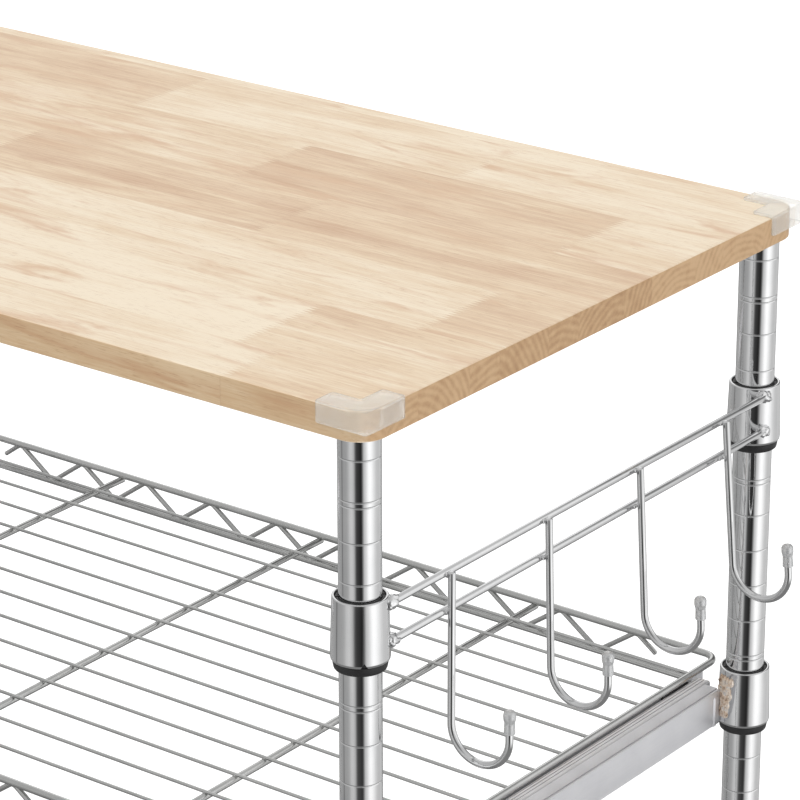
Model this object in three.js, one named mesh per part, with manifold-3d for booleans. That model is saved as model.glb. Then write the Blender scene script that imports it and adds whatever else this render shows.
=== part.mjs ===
// Rolling kitchen island cart: a solid wood top on four chrome posts, a hook rail on the right
// side, a wire shelf that pulls out to the front on ball-bearing slides, a fixed wire shelf at the
// bottom, and four swivel casters, the front two with brake pedals.
// Millimetres. +Z is up, -Y is the front, +X is the right side with the hook rail.
// The finished group has its origin on the floor, at the middle of the cart's bounding box.

import * as THREE from "three";
import { mergeVertices } from "three/addons/utils/BufferGeometryUtils.js";
import Module from "manifold-3d";

const wasm = await Module();
wasm.setup();

// ---- Driving dimensions ----

const GAP = 0.3; // air left between two pieces that touch
const ROUND_SIDES = 16; // facets round a post, collar, sleeve or stem
const ROD_SIDES = 6; // facets round a rod, hook or rim wire
const WIRE_SIDES = 4; // facets round a deck or zigzag wire
const BOLT_SIDES = 10;

// Wood top
const TOP_LENGTH = 762;
const TOP_DEPTH = 457.2;
const TOP_THICKNESS = 19.3;
const TOP_HEIGHT = 914.4; // floor to the wood's upper face
const TOP_CORNER_RADIUS = 18;

// Corner guards: L-shaped caps pressed over the wood's corners
const GUARD_ARM = 37;
const GUARD_WIDTH = 17;
const GUARD_WALL = 2;
const GUARD_SIDE_HEIGHT = 14.5;

// Posts
const POST_PITCH_X = 725;
const POST_PITCH_Y = 421;
const POST_RADIUS = 12.7;
const POST_WALL = 1.2;
const POST_BOTTOM = 103;

// Collars: tapered rings that lock on a tapered plastic sleeve clipped to the post
const COLLAR_HEIGHT = 39.5;
const COLLAR_TOP_RADIUS = 16.5;
const COLLAR_BOTTOM_RADIUS = 17.6;
const COLLAR_WALL = 2.2;
const SLEEVE_LIP_HEIGHT = 5.5;
const SLEEVE_LIP_RADIUS = 16.6;
const SLEEVE_TOP_DROP = 0.8;
const RAIL_COLLAR_TOP = 795;
const BRACKET_COLLAR_TOP = 590.5;
const SHELF_COLLAR_TOP = 184.5;

// Hook rail: two rods between the right posts' collars, with four J hooks
const ROD_RADIUS = 2.4;
const ROD_OUTBOARD = 15; // rod axis, out from the post axis
const UPPER_ROD_Z = 790.5;
const LOWER_ROD_Z = 766.5;
const HOOK_COUNT = 4;
const HOOK_PITCH = 98;
const HOOKS_FORWARD = 2.6; // the row of hooks, in front of the rail's middle
const HOOK_HEIGHT = 120.5; // top of the leg to the underside of the bend
const HOOK_BEND_RADIUS = 21;
const HOOK_TIP_RISE = 42; // underside of the bend to the top of the tip
const HOOK_LEAN_STEP = 1.65; // degrees that each hook leans out more than the one in front
const HOOK_STEPS = 10;
const TIP_CAP_RADIUS = 4;
const TIP_CAP_LENGTH = 15;
const TIP_CAP_WALL = 1.2;

// Side brackets that carry the slides: flat tubes welded to a collar at each end
const BRACKET_INSET = 9; // outer face, in from the post axis
const BRACKET_WIDTH = 12;
const BRACKET_HEIGHT = 25.2;
const BRACKET_TOP_Z = 576;
const BRACKET_WALL = 1.2;
const BRACKET_TUBE_FROM = 20; // where the tube starts, from the front post axis
const BRACKET_TUBE_TO = 401;
const BRACKET_TAB_END = 13; // where the web's end tab stops, from a post axis

// Slides: three nested channels
const SLIDE_LENGTH = 400;
const SLIDE_BACK_END = -9; // the slides' back ends, behind the back post axis when positive
const SLIDE_TOP_DROP = 0.4; // the outer member's top, below the bracket's
const SLIDE_HEIGHT = 24.4;
const SLIDE_SHEET = 1.2;
const SLIDE_NEST = 3.1; // each member is this much lower at top and bottom than the one around it
const OUTER_INSET = 21.3;
const OUTER_DEPTH = 10.6;
const MIDDLE_INSET = 24.2;
const MIDDLE_DEPTH = 6.8;
const INNER_INSET = 34; // far face of the inner member
const INNER_DEPTH = 6.5;

// Pull-out shelf
const SHELF_RIM_INSET = 21.9; // rim axis, in from the post axis
const SHELF_FRONT_Y = 0; // front rim axis, behind the front post axis
const SHELF_BACK_Y = 422.5;
const SHELF_RIM_Z = 589.5;
const SHELF_TRUSS_DROP = 22.5; // lower rim wire, below the upper
const SHELF_RIM_RADIUS = 2.4;
const SHELF_CORNER_RADIUS = 11;
const SHELF_ZIGZAG_LEFT = 9.3; // its zigzags' middle, left of the cart's
const SHELF_PLATE_INSET = 34.3; // the side plates' outer faces, in from the post axis
const SHELF_PLATE_SHEET = 1.2;
const SHELF_PLATE_DROP = 11.5; // the plates' top edges, below the rim axis
const SHELF_PLATE_HEIGHT = 27;
const SHELF_PLATE_LAP = 1; // the plates run this far past the truss wires

// Wires of both shelves
const DECK_WIRE_RADIUS = 1.15;
const DECK_WIRE_COUNT = 13;
const DECK_WIRE_PITCH = 29.6;
const CROSS_WIRE_RADIUS = 2.4;
const CROSS_WIRE_PITCH = 190;
const WELD_OVERLAP = 0.4; // how far a deck wire sinks into the cross wires
const ZIGZAG_RADIUS = 1.75;
const ZIGZAG_BEND = 5;
const ZIGZAG_PEAKS_X = 10; // along a long side
const ZIGZAG_PEAKS_Y = 6; // along a short side
const ZIGZAG_END_GAP = 28.9; // a centred zigzag's free ends, in from the ends of its lower wire

// Bottom shelf
const BOTTOM_RIM_Z = 178;
const BOTTOM_TRUSS_DROP = 28;
const BOTTOM_RIM_RADIUS = 2.6;
const BOTTOM_RIM_END = 15.8; // where a rim wire stops inside the collar's wall, from the post axis

// Casters
const WHEEL_RADIUS = 37.5;
const WHEEL_WIDTH = 24;
const WHEEL_SIDES = 20;
const WHEEL_TRAIL = 25; // wheel axle, behind the swivel axis
const WHEEL_BOSS_RADIUS = 10.3;
const WHEEL_RECESS = 3; // the hub's web, in from the wheel's faces
const TYRE_DEPTH = 7;
const AXLE_RADIUS = 4;
const AXLE_HEAD_RADIUS = 6.5;
const AXLE_HEAD_HEIGHT = 3;
const AXLE_Z = WHEEL_RADIUS * Math.cos(Math.PI / WHEEL_SIDES); // the wheel stands on a flat
const FORK_INSIDE = 28;
const FORK_SHEET = 2.2;
const FORK_TOP = 90;
const FORK_TOP_RADIUS = 20;
const FORK_TOP_SHEET = 3;
const FORK_FOOT_RADIUS = 9; // the legs' round end at the axle
const FORK_FOOT_TURN = 1.85 * Math.PI; // where that round end meets the front edge
const FORK_BACK = 6; // the legs' back edge, behind the pedal's pivot
const FORK_BACK_DROP = 8; // that edge's lower end, below the pivot
const BEARING_HEIGHT = 6;
const BEARING_TAPER = 3;
const STEM_RADIUS = 8;
const STEM_FLANGE = 3;
const STEM_PLUG_LENGTH = 25;
const PEDAL_PIVOT_X = 39; // from the swivel axis, towards the wheel
const PEDAL_PIVOT_Z = 82;
const PEDAL_PIN_RADIUS = 2.5;
const PEDAL_WIDTH = 22;
const PEDAL_OUTLINE = [ // side view from the pivot, away from the post and up
  [5, 4], [-6, 4], [-24, -3], [-42, -7], [-42, -10], [-24, -6.5], [-6, -1], [0, -4.5], [5, -3],
];

const UNDERSIDE = TOP_HEIGHT - TOP_THICKNESS;
const HALF_X = POST_PITCH_X / 2;
const HALF_Y = POST_PITCH_Y / 2;
const CORNERS = [
  { name: "front_right", x: HALF_X, y: -HALF_Y },
  { name: "back_right", x: HALF_X, y: HALF_Y },
  { name: "back_left", x: -HALF_X, y: HALF_Y },
  { name: "front_left", x: -HALF_X, y: -HALF_Y },
];

// ---- Materials ----

function material(color, roughness, metalness) {
  return new THREE.MeshStandardMaterial({ color, roughness, metalness });
}

const RUBBERWOOD = material(0xe3c79c, 0.45, 0);
const CHROME = material(0xc9cacb, 0.15, 1);
const SATIN_STEEL = material(0xc0c1c0, 0.4, 1);
const SHELF_WIRE = material(0xa9a7a0, 0.3, 1);
const CLEAR_PLASTIC = material(0xe6e6e4, 0.35, 0);
const BLACK_PLASTIC = material(0x151515, 0.5, 0);
const GREY_RUBBER = material(0x4a4a4a, 0.8, 0);

// ---- Solids ----

// Turns a closed geometry into a manifold solid.
function solid(geometry) {
  geometry.deleteAttribute("normal");
  geometry.deleteAttribute("uv");
  const merged = mergeVertices(geometry, 1e-4);
  const index = merged.index.array;
  const triVerts = [];
  for (let i = 0; i < index.length; i += 3) {
    const [a, b, c] = [index[i], index[i + 1], index[i + 2]];
    if (a !== b && b !== c && c !== a) triVerts.push(a, b, c);
  }
  return new wasm.Manifold(new wasm.Mesh({
    numProp: 3,
    vertProperties: new Float32Array(merged.attributes.position.array),
    triVerts: new Uint32Array(triVerts),
  }));
}

function join(pieces) {
  return pieces.reduce((whole, piece) => whole.add(piece));
}

// A box between two corners.
function block(low, high) {
  const size = high.map((value, i) => value - low[i]);
  const geometry = new THREE.BoxGeometry(...size);
  geometry.translate(...low.map((value, i) => value + size[i] / 2));
  return solid(geometry);
}

// A body of revolution about +Z. The profile is a list of [radius, z], closed on the axis or on
// itself, that runs upwards along the outside.
function turned(profile, sides, phase = 0) {
  const points = profile.map(([radius, z]) => new THREE.Vector2(radius, z));
  const geometry = new THREE.LatheGeometry(points, sides, phase);
  geometry.rotateX(Math.PI / 2);
  return solid(geometry);
}

// A straight round bar between two points.
function bar(from, to, radius, sides) {
  const start = new THREE.Vector3(...from);
  const along = new THREE.Vector3(...to).sub(start);
  const geometry = new THREE.CylinderGeometry(radius, radius, along.length(), sides);
  const turn = new THREE.Quaternion().setFromUnitVectors(
    new THREE.Vector3(0, 1, 0), along.clone().normalize());
  geometry.applyQuaternion(turn);
  geometry.translate(...start.addScaledVector(along, 0.5));
  return solid(geometry);
}

// A path through points, with one sweep step from each point to the next.
class StepPath extends THREE.Curve {
  constructor(points) {
    super();
    this.points = points;
  }

  getPoint(t) {
    const place = t * (this.points.length - 1);
    const i = Math.min(Math.floor(place), this.points.length - 2);
    return this.points[i].clone().lerp(this.points[i + 1], place - i);
  }

  getPointAt(u) {
    return this.getPoint(u);
  }

  getTangentAt(u) {
    return this.getTangent(u);
  }
}

// The corner points with each inner corner rounded to a radius, in a number of steps.
function rounded(corners, radius, steps) {
  const points = corners.map((corner) => new THREE.Vector3(...corner));
  const path = [points[0]];
  for (let i = 1; i < points.length - 1; i++) {
    const back = points[i - 1].clone().sub(points[i]).normalize();
    const ahead = points[i + 1].clone().sub(points[i]).normalize();
    const half = back.angleTo(ahead) / 2;
    const middle = back.clone().add(ahead).normalize();
    const centre = points[i].clone().addScaledVector(middle, radius / Math.sin(half));
    const start = points[i].clone().addScaledVector(back, radius / Math.tan(half)).sub(centre);
    const axis = back.clone().cross(ahead).normalize();
    for (let k = 0; k <= steps; k++) {
      const turn = -(Math.PI - 2 * half) * (k / steps);
      path.push(start.clone().applyAxisAngle(axis, turn).add(centre));
    }
  }
  path.push(points.at(-1));
  return path;
}

// A round wire bent along a path of points.
function wire(path, radius, sides) {
  const section = new THREE.Shape();
  for (let k = 0; k < sides; k++) {
    const angle = (2 * Math.PI * (k + 0.5)) / sides;
    const [u, v] = [radius * Math.cos(angle), radius * Math.sin(angle)];
    if (k) section.lineTo(u, v);
    else section.moveTo(u, v);
  }
  section.closePath();
  return solid(new THREE.ExtrudeGeometry(section, {
    steps: path.length - 1,
    extrudePath: new StepPath(path),
  }));
}

// A flat outline in X and Z, extruded in Y from one place to another.
function plate(outline, fromY, toY, arcSteps = 6) {
  const geometry = new THREE.ExtrudeGeometry(outline, {
    depth: toY - fromY,
    bevelEnabled: false,
    curveSegments: arcSteps,
  });
  geometry.rotateX(Math.PI / 2);
  geometry.translate(0, toY, 0);
  return solid(geometry);
}

function polygon(points) {
  return new THREE.Shape(points.map(([u, v]) => new THREE.Vector2(u, v)));
}

// ---- The group ----

const cart = new THREE.Group();

function addNode(name, shape, finish) {
  const mesh = shape.getMesh();
  const geometry = new THREE.BufferGeometry();
  geometry.setAttribute("position", new THREE.BufferAttribute(mesh.vertProperties, 3));
  geometry.setIndex(new THREE.BufferAttribute(mesh.triVerts, 1));
  geometry.computeVertexNormals();
  const node = new THREE.Mesh(geometry, finish);
  node.name = name;
  cart.add(node);
}

// The same shape on the other side of the cart's middle plane.
function mirrored(shape) {
  return shape.mirror([1, 0, 0]);
}

// ---- Wood top and corner guards ----

function roundedSlab(length, depth, radius, fromZ, toZ) {
  const outline = new THREE.Shape();
  outline.moveTo(length / 2, -depth / 2 + radius);
  outline.absarc(length / 2 - radius, depth / 2 - radius, radius, 0, Math.PI / 2);
  outline.absarc(-length / 2 + radius, depth / 2 - radius, radius, Math.PI / 2, Math.PI);
  outline.absarc(-length / 2 + radius, -depth / 2 + radius, radius, Math.PI, 1.5 * Math.PI);
  outline.absarc(length / 2 - radius, -depth / 2 + radius, radius, 1.5 * Math.PI, 2 * Math.PI);
  const geometry = new THREE.ExtrudeGeometry(outline, {
    depth: toZ - fromZ,
    bevelEnabled: false,
    curveSegments: 6,
  });
  geometry.translate(0, 0, fromZ);
  return solid(geometry);
}

// The L-shaped block over one corner, with an arm back along each edge, grown by a margin.
function cornerBlock(corner, bottom, top, margin) {
  const [sx, sy] = [Math.sign(corner.x), Math.sign(corner.y)];
  const [outX, outY] = [TOP_LENGTH / 2 + GAP + GUARD_WALL, TOP_DEPTH / 2 + GAP + GUARD_WALL];
  const box = (reachX, reachY) => {
    const [x0, y0] = [sx * (outX - reachX - margin), sy * (outY - reachY - margin)];
    const [x1, y1] = [sx * outX, sy * outY];
    return block(
      [Math.min(x0, x1), Math.min(y0, y1), bottom],
      [Math.max(x0, x1), Math.max(y0, y1), top]);
  };
  return box(GUARD_ARM, GUARD_WIDTH).add(box(GUARD_WIDTH, GUARD_ARM));
}

// The guard of one corner: a cap with the wood's rounded corner cut out of it.
function cornerGuard(corner) {
  const room = roundedSlab(
    TOP_LENGTH + 2 * GAP, TOP_DEPTH + 2 * GAP, TOP_CORNER_RADIUS + GAP,
    UNDERSIDE - GAP, TOP_HEIGHT);
  return cornerBlock(corner, TOP_HEIGHT - GUARD_SIDE_HEIGHT, TOP_HEIGHT + GUARD_WALL, 0)
    .subtract(room);
}

// The wood, with a shallow seat under each guard.
let woodTop = roundedSlab(TOP_LENGTH, TOP_DEPTH, TOP_CORNER_RADIUS, UNDERSIDE, TOP_HEIGHT);
for (const corner of CORNERS) {
  woodTop = woodTop.subtract(cornerBlock(corner, TOP_HEIGHT - GAP, TOP_HEIGHT + 1, GAP));
  addNode("corner_guard_" + corner.name, cornerGuard(corner), CLEAR_PLASTIC);
}
addNode("wood_top", woodTop, RUBBERWOOD);

// ---- Posts, collars and sleeves ----

function ring(outer, inner, bottom, top) {
  const profile = [[inner, bottom], [outer, bottom], [outer, top], [inner, top], [inner, bottom]];
  return turned(profile, ROUND_SIDES);
}

function collar(top) {
  const bottom = top - COLLAR_HEIGHT;
  return turned([
    [COLLAR_BOTTOM_RADIUS - COLLAR_WALL, bottom],
    [COLLAR_BOTTOM_RADIUS, bottom],
    [COLLAR_TOP_RADIUS, top],
    [COLLAR_TOP_RADIUS - COLLAR_WALL, top],
    [COLLAR_BOTTOM_RADIUS - COLLAR_WALL, bottom],
  ], ROUND_SIDES);
}

// The plastic sleeve inside a collar, with the lip that shows below it.
function sleeve(collarTop) {
  const collarBottom = collarTop - COLLAR_HEIGHT;
  const lipTop = collarBottom - GAP;
  const inner = POST_RADIUS + GAP;
  const slack = COLLAR_WALL + GAP + 0.1;
  return turned([
    [inner, lipTop - SLEEVE_LIP_HEIGHT],
    [SLEEVE_LIP_RADIUS - 1, lipTop - SLEEVE_LIP_HEIGHT],
    [SLEEVE_LIP_RADIUS, lipTop],
    [COLLAR_BOTTOM_RADIUS - slack, lipTop],
    [COLLAR_TOP_RADIUS - slack, collarTop - SLEEVE_TOP_DROP],
    [inner, collarTop - SLEEVE_TOP_DROP],
    [inner, lipTop - SLEEVE_LIP_HEIGHT],
  ], ROUND_SIDES);
}

for (const { name, x, y } of CORNERS) {
  const tube = ring(POST_RADIUS, POST_RADIUS - POST_WALL, POST_BOTTOM, UNDERSIDE - GAP);
  addNode("post_" + name, tube.translate([x, y, 0]), CHROME);
  addNode("bracket_sleeve_" + name, sleeve(BRACKET_COLLAR_TOP).translate([x, y, 0]), BLACK_PLASTIC);
  addNode("bottom_sleeve_" + name, sleeve(SHELF_COLLAR_TOP).translate([x, y, 0]), BLACK_PLASTIC);
}

// ---- Hook rail ----

const railX = HALF_X + ROD_OUTBOARD;

for (const [end, y] of [["front", -HALF_Y], ["back", HALF_Y]]) {
  addNode("rail_collar_" + end, collar(RAIL_COLLAR_TOP).translate([HALF_X, y, 0]), CHROME);
  addNode("rail_sleeve_" + end, sleeve(RAIL_COLLAR_TOP).translate([HALF_X, y, 0]), BLACK_PLASTIC);
}

// Each rod stops just short of the collars that it is welded to.
const rodReach = HALF_Y - Math.sqrt(COLLAR_BOTTOM_RADIUS ** 2 - (ROD_OUTBOARD - ROD_RADIUS) ** 2)
  - GAP;
for (const [name, z] of [["rail_upper_rod", UPPER_ROD_Z], ["rail_lower_rod", LOWER_ROD_Z]]) {
  addNode(name, bar([railX, -rodReach, z], [railX, rodReach, z], ROD_RADIUS, ROD_SIDES), CHROME);
}

// The centre line of a hook in its own plane: down the leg, round the bend and up the tip.
function hookPath() {
  const bendZ = -(HOOK_HEIGHT - ROD_RADIUS - HOOK_BEND_RADIUS);
  const path = [new THREE.Vector3(0, 0, 0)];
  for (let k = 0; k <= HOOK_STEPS; k++) {
    const angle = Math.PI * (1 + k / HOOK_STEPS);
    path.push(new THREE.Vector3(
      HOOK_BEND_RADIUS * (1 + Math.cos(angle)), 0, bendZ + HOOK_BEND_RADIUS * Math.sin(angle)));
  }
  path.push(new THREE.Vector3(2 * HOOK_BEND_RADIUS, 0, HOOK_TIP_RISE - HOOK_HEIGHT));
  return path;
}

// The soft cap on a hook's tip: a domed tube closed at the top.
function tipCap() {
  const top = HOOK_TIP_RISE - HOOK_HEIGHT + GAP + TIP_CAP_WALL;
  const bottom = top - TIP_CAP_LENGTH;
  const bore = ROD_RADIUS + GAP;
  const dome = [];
  for (let k = 0; k <= 3; k++) {
    const angle = (Math.PI / 2) * (k / 3);
    dome.push([TIP_CAP_RADIUS * Math.cos(angle), top - TIP_CAP_RADIUS * (1 - Math.sin(angle))]);
  }
  dome.at(-1)[0] = 0;
  const inside = top - TIP_CAP_WALL;
  const cap = turned(
    [[0, inside], [bore, inside], [bore, bottom], [TIP_CAP_RADIUS, bottom], ...dome],
    BOLT_SIDES);
  return cap.translate([2 * HOOK_BEND_RADIUS, 0, 0]);
}

const hookX = railX + 2 * ROD_RADIUS + GAP;
for (let i = 0; i < HOOK_COUNT; i++) {
  const lean = -i * HOOK_LEAN_STEP;
  const y = (i - (HOOK_COUNT - 1) / 2) * HOOK_PITCH - HOOKS_FORWARD;
  const hang = (shape) => shape.rotate([0, lean, 0]).translate([hookX, y, UPPER_ROD_Z + ROD_RADIUS]);
  addNode("rail_hook_" + (i + 1), hang(wire(hookPath(), ROD_RADIUS, ROD_SIDES)), CHROME);
  addNode("hook_tip_" + (i + 1), hang(tipCap()), CLEAR_PLASTIC);
}

// ---- Side brackets and slides (drawn for the right side, mirrored for the left) ----

const backY = HALF_Y + SLIDE_BACK_END;
const frontY = backY - SLIDE_LENGTH;

// A block given by how far in from the right post axis it reaches.
function inboard(fromInset, toInset, fromY, toY, fromZ, toZ) {
  return block([HALF_X - toInset, fromY, fromZ], [HALF_X - fromInset, toY, toZ]);
}

function sideBracket() {
  const [y0, y1] = [-HALF_Y + BRACKET_TUBE_FROM, -HALF_Y + BRACKET_TUBE_TO];
  const [z0, z1] = [BRACKET_TOP_Z - BRACKET_HEIGHT, BRACKET_TOP_Z];
  const tabY = HALF_Y - BRACKET_TAB_END;
  const inset = BRACKET_INSET;
  const tube = inboard(inset, inset + BRACKET_WIDTH, y0, y1, z0, z1).subtract(
    inboard(inset + BRACKET_WALL, inset + BRACKET_WIDTH - BRACKET_WALL, y0 - 1, y1 + 1,
      z0 + BRACKET_WALL, z1 - BRACKET_WALL));
  const tabs = inboard(inset, inset + BRACKET_WALL, -tabY, tabY, z0, z1);
  const rings = [-HALF_Y, HALF_Y].map((y) => collar(BRACKET_COLLAR_TOP).translate([HALF_X, y, 0]));
  return join([tube, tabs, ...rings]);
}

// A channel along Y: a back sheet with a lip at its top and at its bottom.
function channel(backInset, lipInset, nest) {
  const top = BRACKET_TOP_Z - SLIDE_TOP_DROP - nest * SLIDE_NEST;
  const bottom = BRACKET_TOP_Z - SLIDE_TOP_DROP - SLIDE_HEIGHT + nest * SLIDE_NEST;
  const inward = Math.sign(lipInset - backInset);
  const sheet = backInset + inward * SLIDE_SHEET;
  const outline = polygon([
    [HALF_X - backInset, bottom],
    [HALF_X - lipInset, bottom],
    [HALF_X - lipInset, bottom + SLIDE_SHEET],
    [HALF_X - sheet, bottom + SLIDE_SHEET],
    [HALF_X - sheet, top - SLIDE_SHEET],
    [HALF_X - lipInset, top - SLIDE_SHEET],
    [HALF_X - lipInset, top],
    [HALF_X - backInset, top],
  ]);
  return plate(outline, frontY, backY);
}

const sideParts = {
  slide_bracket: [sideBracket(), SATIN_STEEL],
  slide_outer: [channel(OUTER_INSET, OUTER_INSET + OUTER_DEPTH, 0), SATIN_STEEL],
  slide_middle: [channel(MIDDLE_INSET, MIDDLE_INSET + MIDDLE_DEPTH, 1), SATIN_STEEL],
  slide_inner: [channel(INNER_INSET, INNER_INSET - INNER_DEPTH, 2), SATIN_STEEL],
};
for (const [name, [shape, finish]] of Object.entries(sideParts)) {
  addNode(name + "_right", shape, finish);
  addNode(name + "_left", mirrored(shape), finish);
}

// ---- Wire shelves ----

// The wire that zigzags between two rim wires. It touches the upper wire at each peak and the lower
// wire between the peaks, and its free ends stop halfway down.
function zigzag(from, to, topZ, drop, peaks) {
  const start = new THREE.Vector3(...from);
  const along = new THREE.Vector3(...to).sub(start);
  const quarterWaves = 4 * peaks - 2;
  const corners = [];
  const turnAt = (quarter, depth) => {
    const point = start.clone().addScaledVector(along, quarter / quarterWaves);
    corners.push([point.x, point.y, topZ - depth]);
  };
  turnAt(0, drop / 2);
  for (let quarter = 1; quarter < quarterWaves; quarter += 2) {
    turnAt(quarter, quarter % 4 === 1 ? 0 : drop);
  }
  turnAt(quarterWaves, drop / 2);
  return wire(rounded(corners, ZIGZAG_BEND, 1), ZIGZAG_RADIUS, WIRE_SIDES);
}

// The deck wires along X, and the stouter cross wires along Y under them.
function deck(halfX, fromY, toY, z) {
  const middleY = (fromY + toY) / 2;
  const pieces = [];
  for (let i = 0; i < DECK_WIRE_COUNT; i++) {
    const y = middleY + (i - (DECK_WIRE_COUNT - 1) / 2) * DECK_WIRE_PITCH;
    pieces.push(bar([-halfX, y, z], [halfX, y, z], DECK_WIRE_RADIUS, WIRE_SIDES));
  }
  const crossZ = z - DECK_WIRE_RADIUS - CROSS_WIRE_RADIUS + WELD_OVERLAP;
  for (const x of [-CROSS_WIRE_PITCH, 0, CROSS_WIRE_PITCH]) {
    pieces.push(bar([x, fromY, crossZ], [x, toY, crossZ], CROSS_WIRE_RADIUS, ROD_SIDES));
  }
  return pieces;
}

function pulloutShelf() {
  const halfX = HALF_X - SHELF_RIM_INSET;
  const [y0, y1] = [-HALF_Y + SHELF_FRONT_Y, -HALF_Y + SHELF_BACK_Y];
  const z = SHELF_RIM_Z;
  const pieces = [];
  const seam = 1; // the rim's two halves run this far past the middle
  for (const side of [-1, 1]) {
    const corners = [
      [-side * seam, y0, z], [side * halfX, y0, z], [side * halfX, y1, z], [-side * seam, y1, z]];
    pieces.push(wire(rounded(corners, SHELF_CORNER_RADIUS, 3), SHELF_RIM_RADIUS, ROD_SIDES));
  }
  const plateX = HALF_X - SHELF_PLATE_INSET;
  const plateTop = z - SHELF_PLATE_DROP;
  for (const y of [y0, y1]) {
    const lowZ = z - SHELF_TRUSS_DROP;
    const endX = plateX - SHELF_PLATE_SHEET / 2;
    pieces.push(bar([-endX, y, lowZ], [endX, y, lowZ], SHELF_RIM_RADIUS, ROD_SIDES));
    const zigX = plateX - ZIGZAG_END_GAP;
    const zigMiddle = -SHELF_ZIGZAG_LEFT;
    pieces.push(zigzag(
      [zigMiddle - zigX, y, 0], [zigMiddle + zigX, y, 0], z, SHELF_TRUSS_DROP, ZIGZAG_PEAKS_X));
  }
  const sidePlate = block(
    [plateX - SHELF_PLATE_SHEET, y0 - SHELF_PLATE_LAP, plateTop - SHELF_PLATE_HEIGHT],
    [plateX, y1 + SHELF_PLATE_LAP, plateTop]);
  pieces.push(...deck(halfX, y0, y1, z), sidePlate, mirrored(sidePlate));
  return join(pieces);
}

function bottomShelf() {
  const topZ = BOTTOM_RIM_Z;
  const lowZ = topZ - BOTTOM_TRUSS_DROP;
  const [endX, endY] = [HALF_X - BOTTOM_RIM_END, HALF_Y - BOTTOM_RIM_END];
  const pieces = [];
  for (const { x, y } of CORNERS) {
    pieces.push(collar(SHELF_COLLAR_TOP).translate([x, y, 0]));
  }
  for (const side of [-1, 1]) {
    const [x, y] = [side * HALF_X, side * HALF_Y];
    for (const z of [topZ, lowZ]) {
      pieces.push(bar([-endX, y, z], [endX, y, z], BOTTOM_RIM_RADIUS, ROD_SIDES));
      pieces.push(bar([x, -endY, z], [x, endY, z], BOTTOM_RIM_RADIUS, ROD_SIDES));
    }
    const [zigX, zigY] = [endX - ZIGZAG_END_GAP, endY - ZIGZAG_END_GAP];
    pieces.push(zigzag([-zigX, y, 0], [zigX, y, 0], topZ, BOTTOM_TRUSS_DROP, ZIGZAG_PEAKS_X));
    pieces.push(zigzag([x, -zigY, 0], [x, zigY, 0], topZ, BOTTOM_TRUSS_DROP, ZIGZAG_PEAKS_Y));
  }
  pieces.push(...deck(HALF_X, -HALF_Y, HALF_Y, topZ));
  return join(pieces);
}

addNode("pullout_shelf", pulloutShelf(), SHELF_WIRE);
addNode("bottom_shelf", bottomShelf(), SHELF_WIRE);

// ---- Casters (drawn at the origin with the wheel trailing towards -X) ----

// The stem: a plug in the post, a flange under it, and the fixed half of the swivel bearing.
function casterStem() {
  const plugRadius = POST_RADIUS - POST_WALL - GAP;
  return turned([
    [0, FORK_TOP + GAP],
    [FORK_TOP_RADIUS, FORK_TOP + GAP],
    [FORK_TOP_RADIUS - BEARING_TAPER, FORK_TOP + BEARING_HEIGHT],
    [STEM_RADIUS, FORK_TOP + BEARING_HEIGHT + 1],
    [STEM_RADIUS, POST_BOTTOM - GAP - STEM_FLANGE],
    [POST_RADIUS, POST_BOTTOM - GAP - STEM_FLANGE],
    [POST_RADIUS, POST_BOTTOM - GAP],
    [plugRadius, POST_BOTTOM - GAP],
    [plugRadius, POST_BOTTOM + STEM_PLUG_LENGTH],
    [0, POST_BOTTOM + STEM_PLUG_LENGTH],
  ], ROUND_SIDES);
}

// The fork: a round top plate with two legs that reach back and down to the axle.
function casterFork(pinHole) {
  const outline = new THREE.Shape();
  outline.moveTo(FORK_TOP_RADIUS - FORK_TOP_SHEET, FORK_TOP);
  outline.lineTo(-PEDAL_PIVOT_X - FORK_BACK, FORK_TOP);
  outline.lineTo(-PEDAL_PIVOT_X - FORK_BACK, PEDAL_PIVOT_Z - FORK_BACK_DROP);
  outline.absarc(-WHEEL_TRAIL, AXLE_Z, FORK_FOOT_RADIUS, Math.PI, FORK_FOOT_TURN);
  outline.closePath();
  const [inner, outer] = [FORK_INSIDE / 2, FORK_INSIDE / 2 + FORK_SHEET];
  const topUnder = FORK_TOP - FORK_TOP_SHEET;
  const top = turned(
    [[0, topUnder], [FORK_TOP_RADIUS, topUnder], [FORK_TOP_RADIUS, FORK_TOP], [0, FORK_TOP]],
    ROUND_SIDES);
  const bore = bar([-WHEEL_TRAIL, -outer - 1, AXLE_Z], [-WHEEL_TRAIL, outer + 1, AXLE_Z],
    AXLE_RADIUS + GAP, BOLT_SIDES);
  let fork = join([top, plate(outline, -outer, -inner), plate(outline, inner, outer)]).subtract(bore);
  if (pinHole) {
    fork = fork.subtract(bar([-PEDAL_PIVOT_X, -outer - 1, PEDAL_PIVOT_Z],
      [-PEDAL_PIVOT_X, outer + 1, PEDAL_PIVOT_Z], PEDAL_PIN_RADIUS + GAP, BOLT_SIDES));
  }
  return fork;
}

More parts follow.
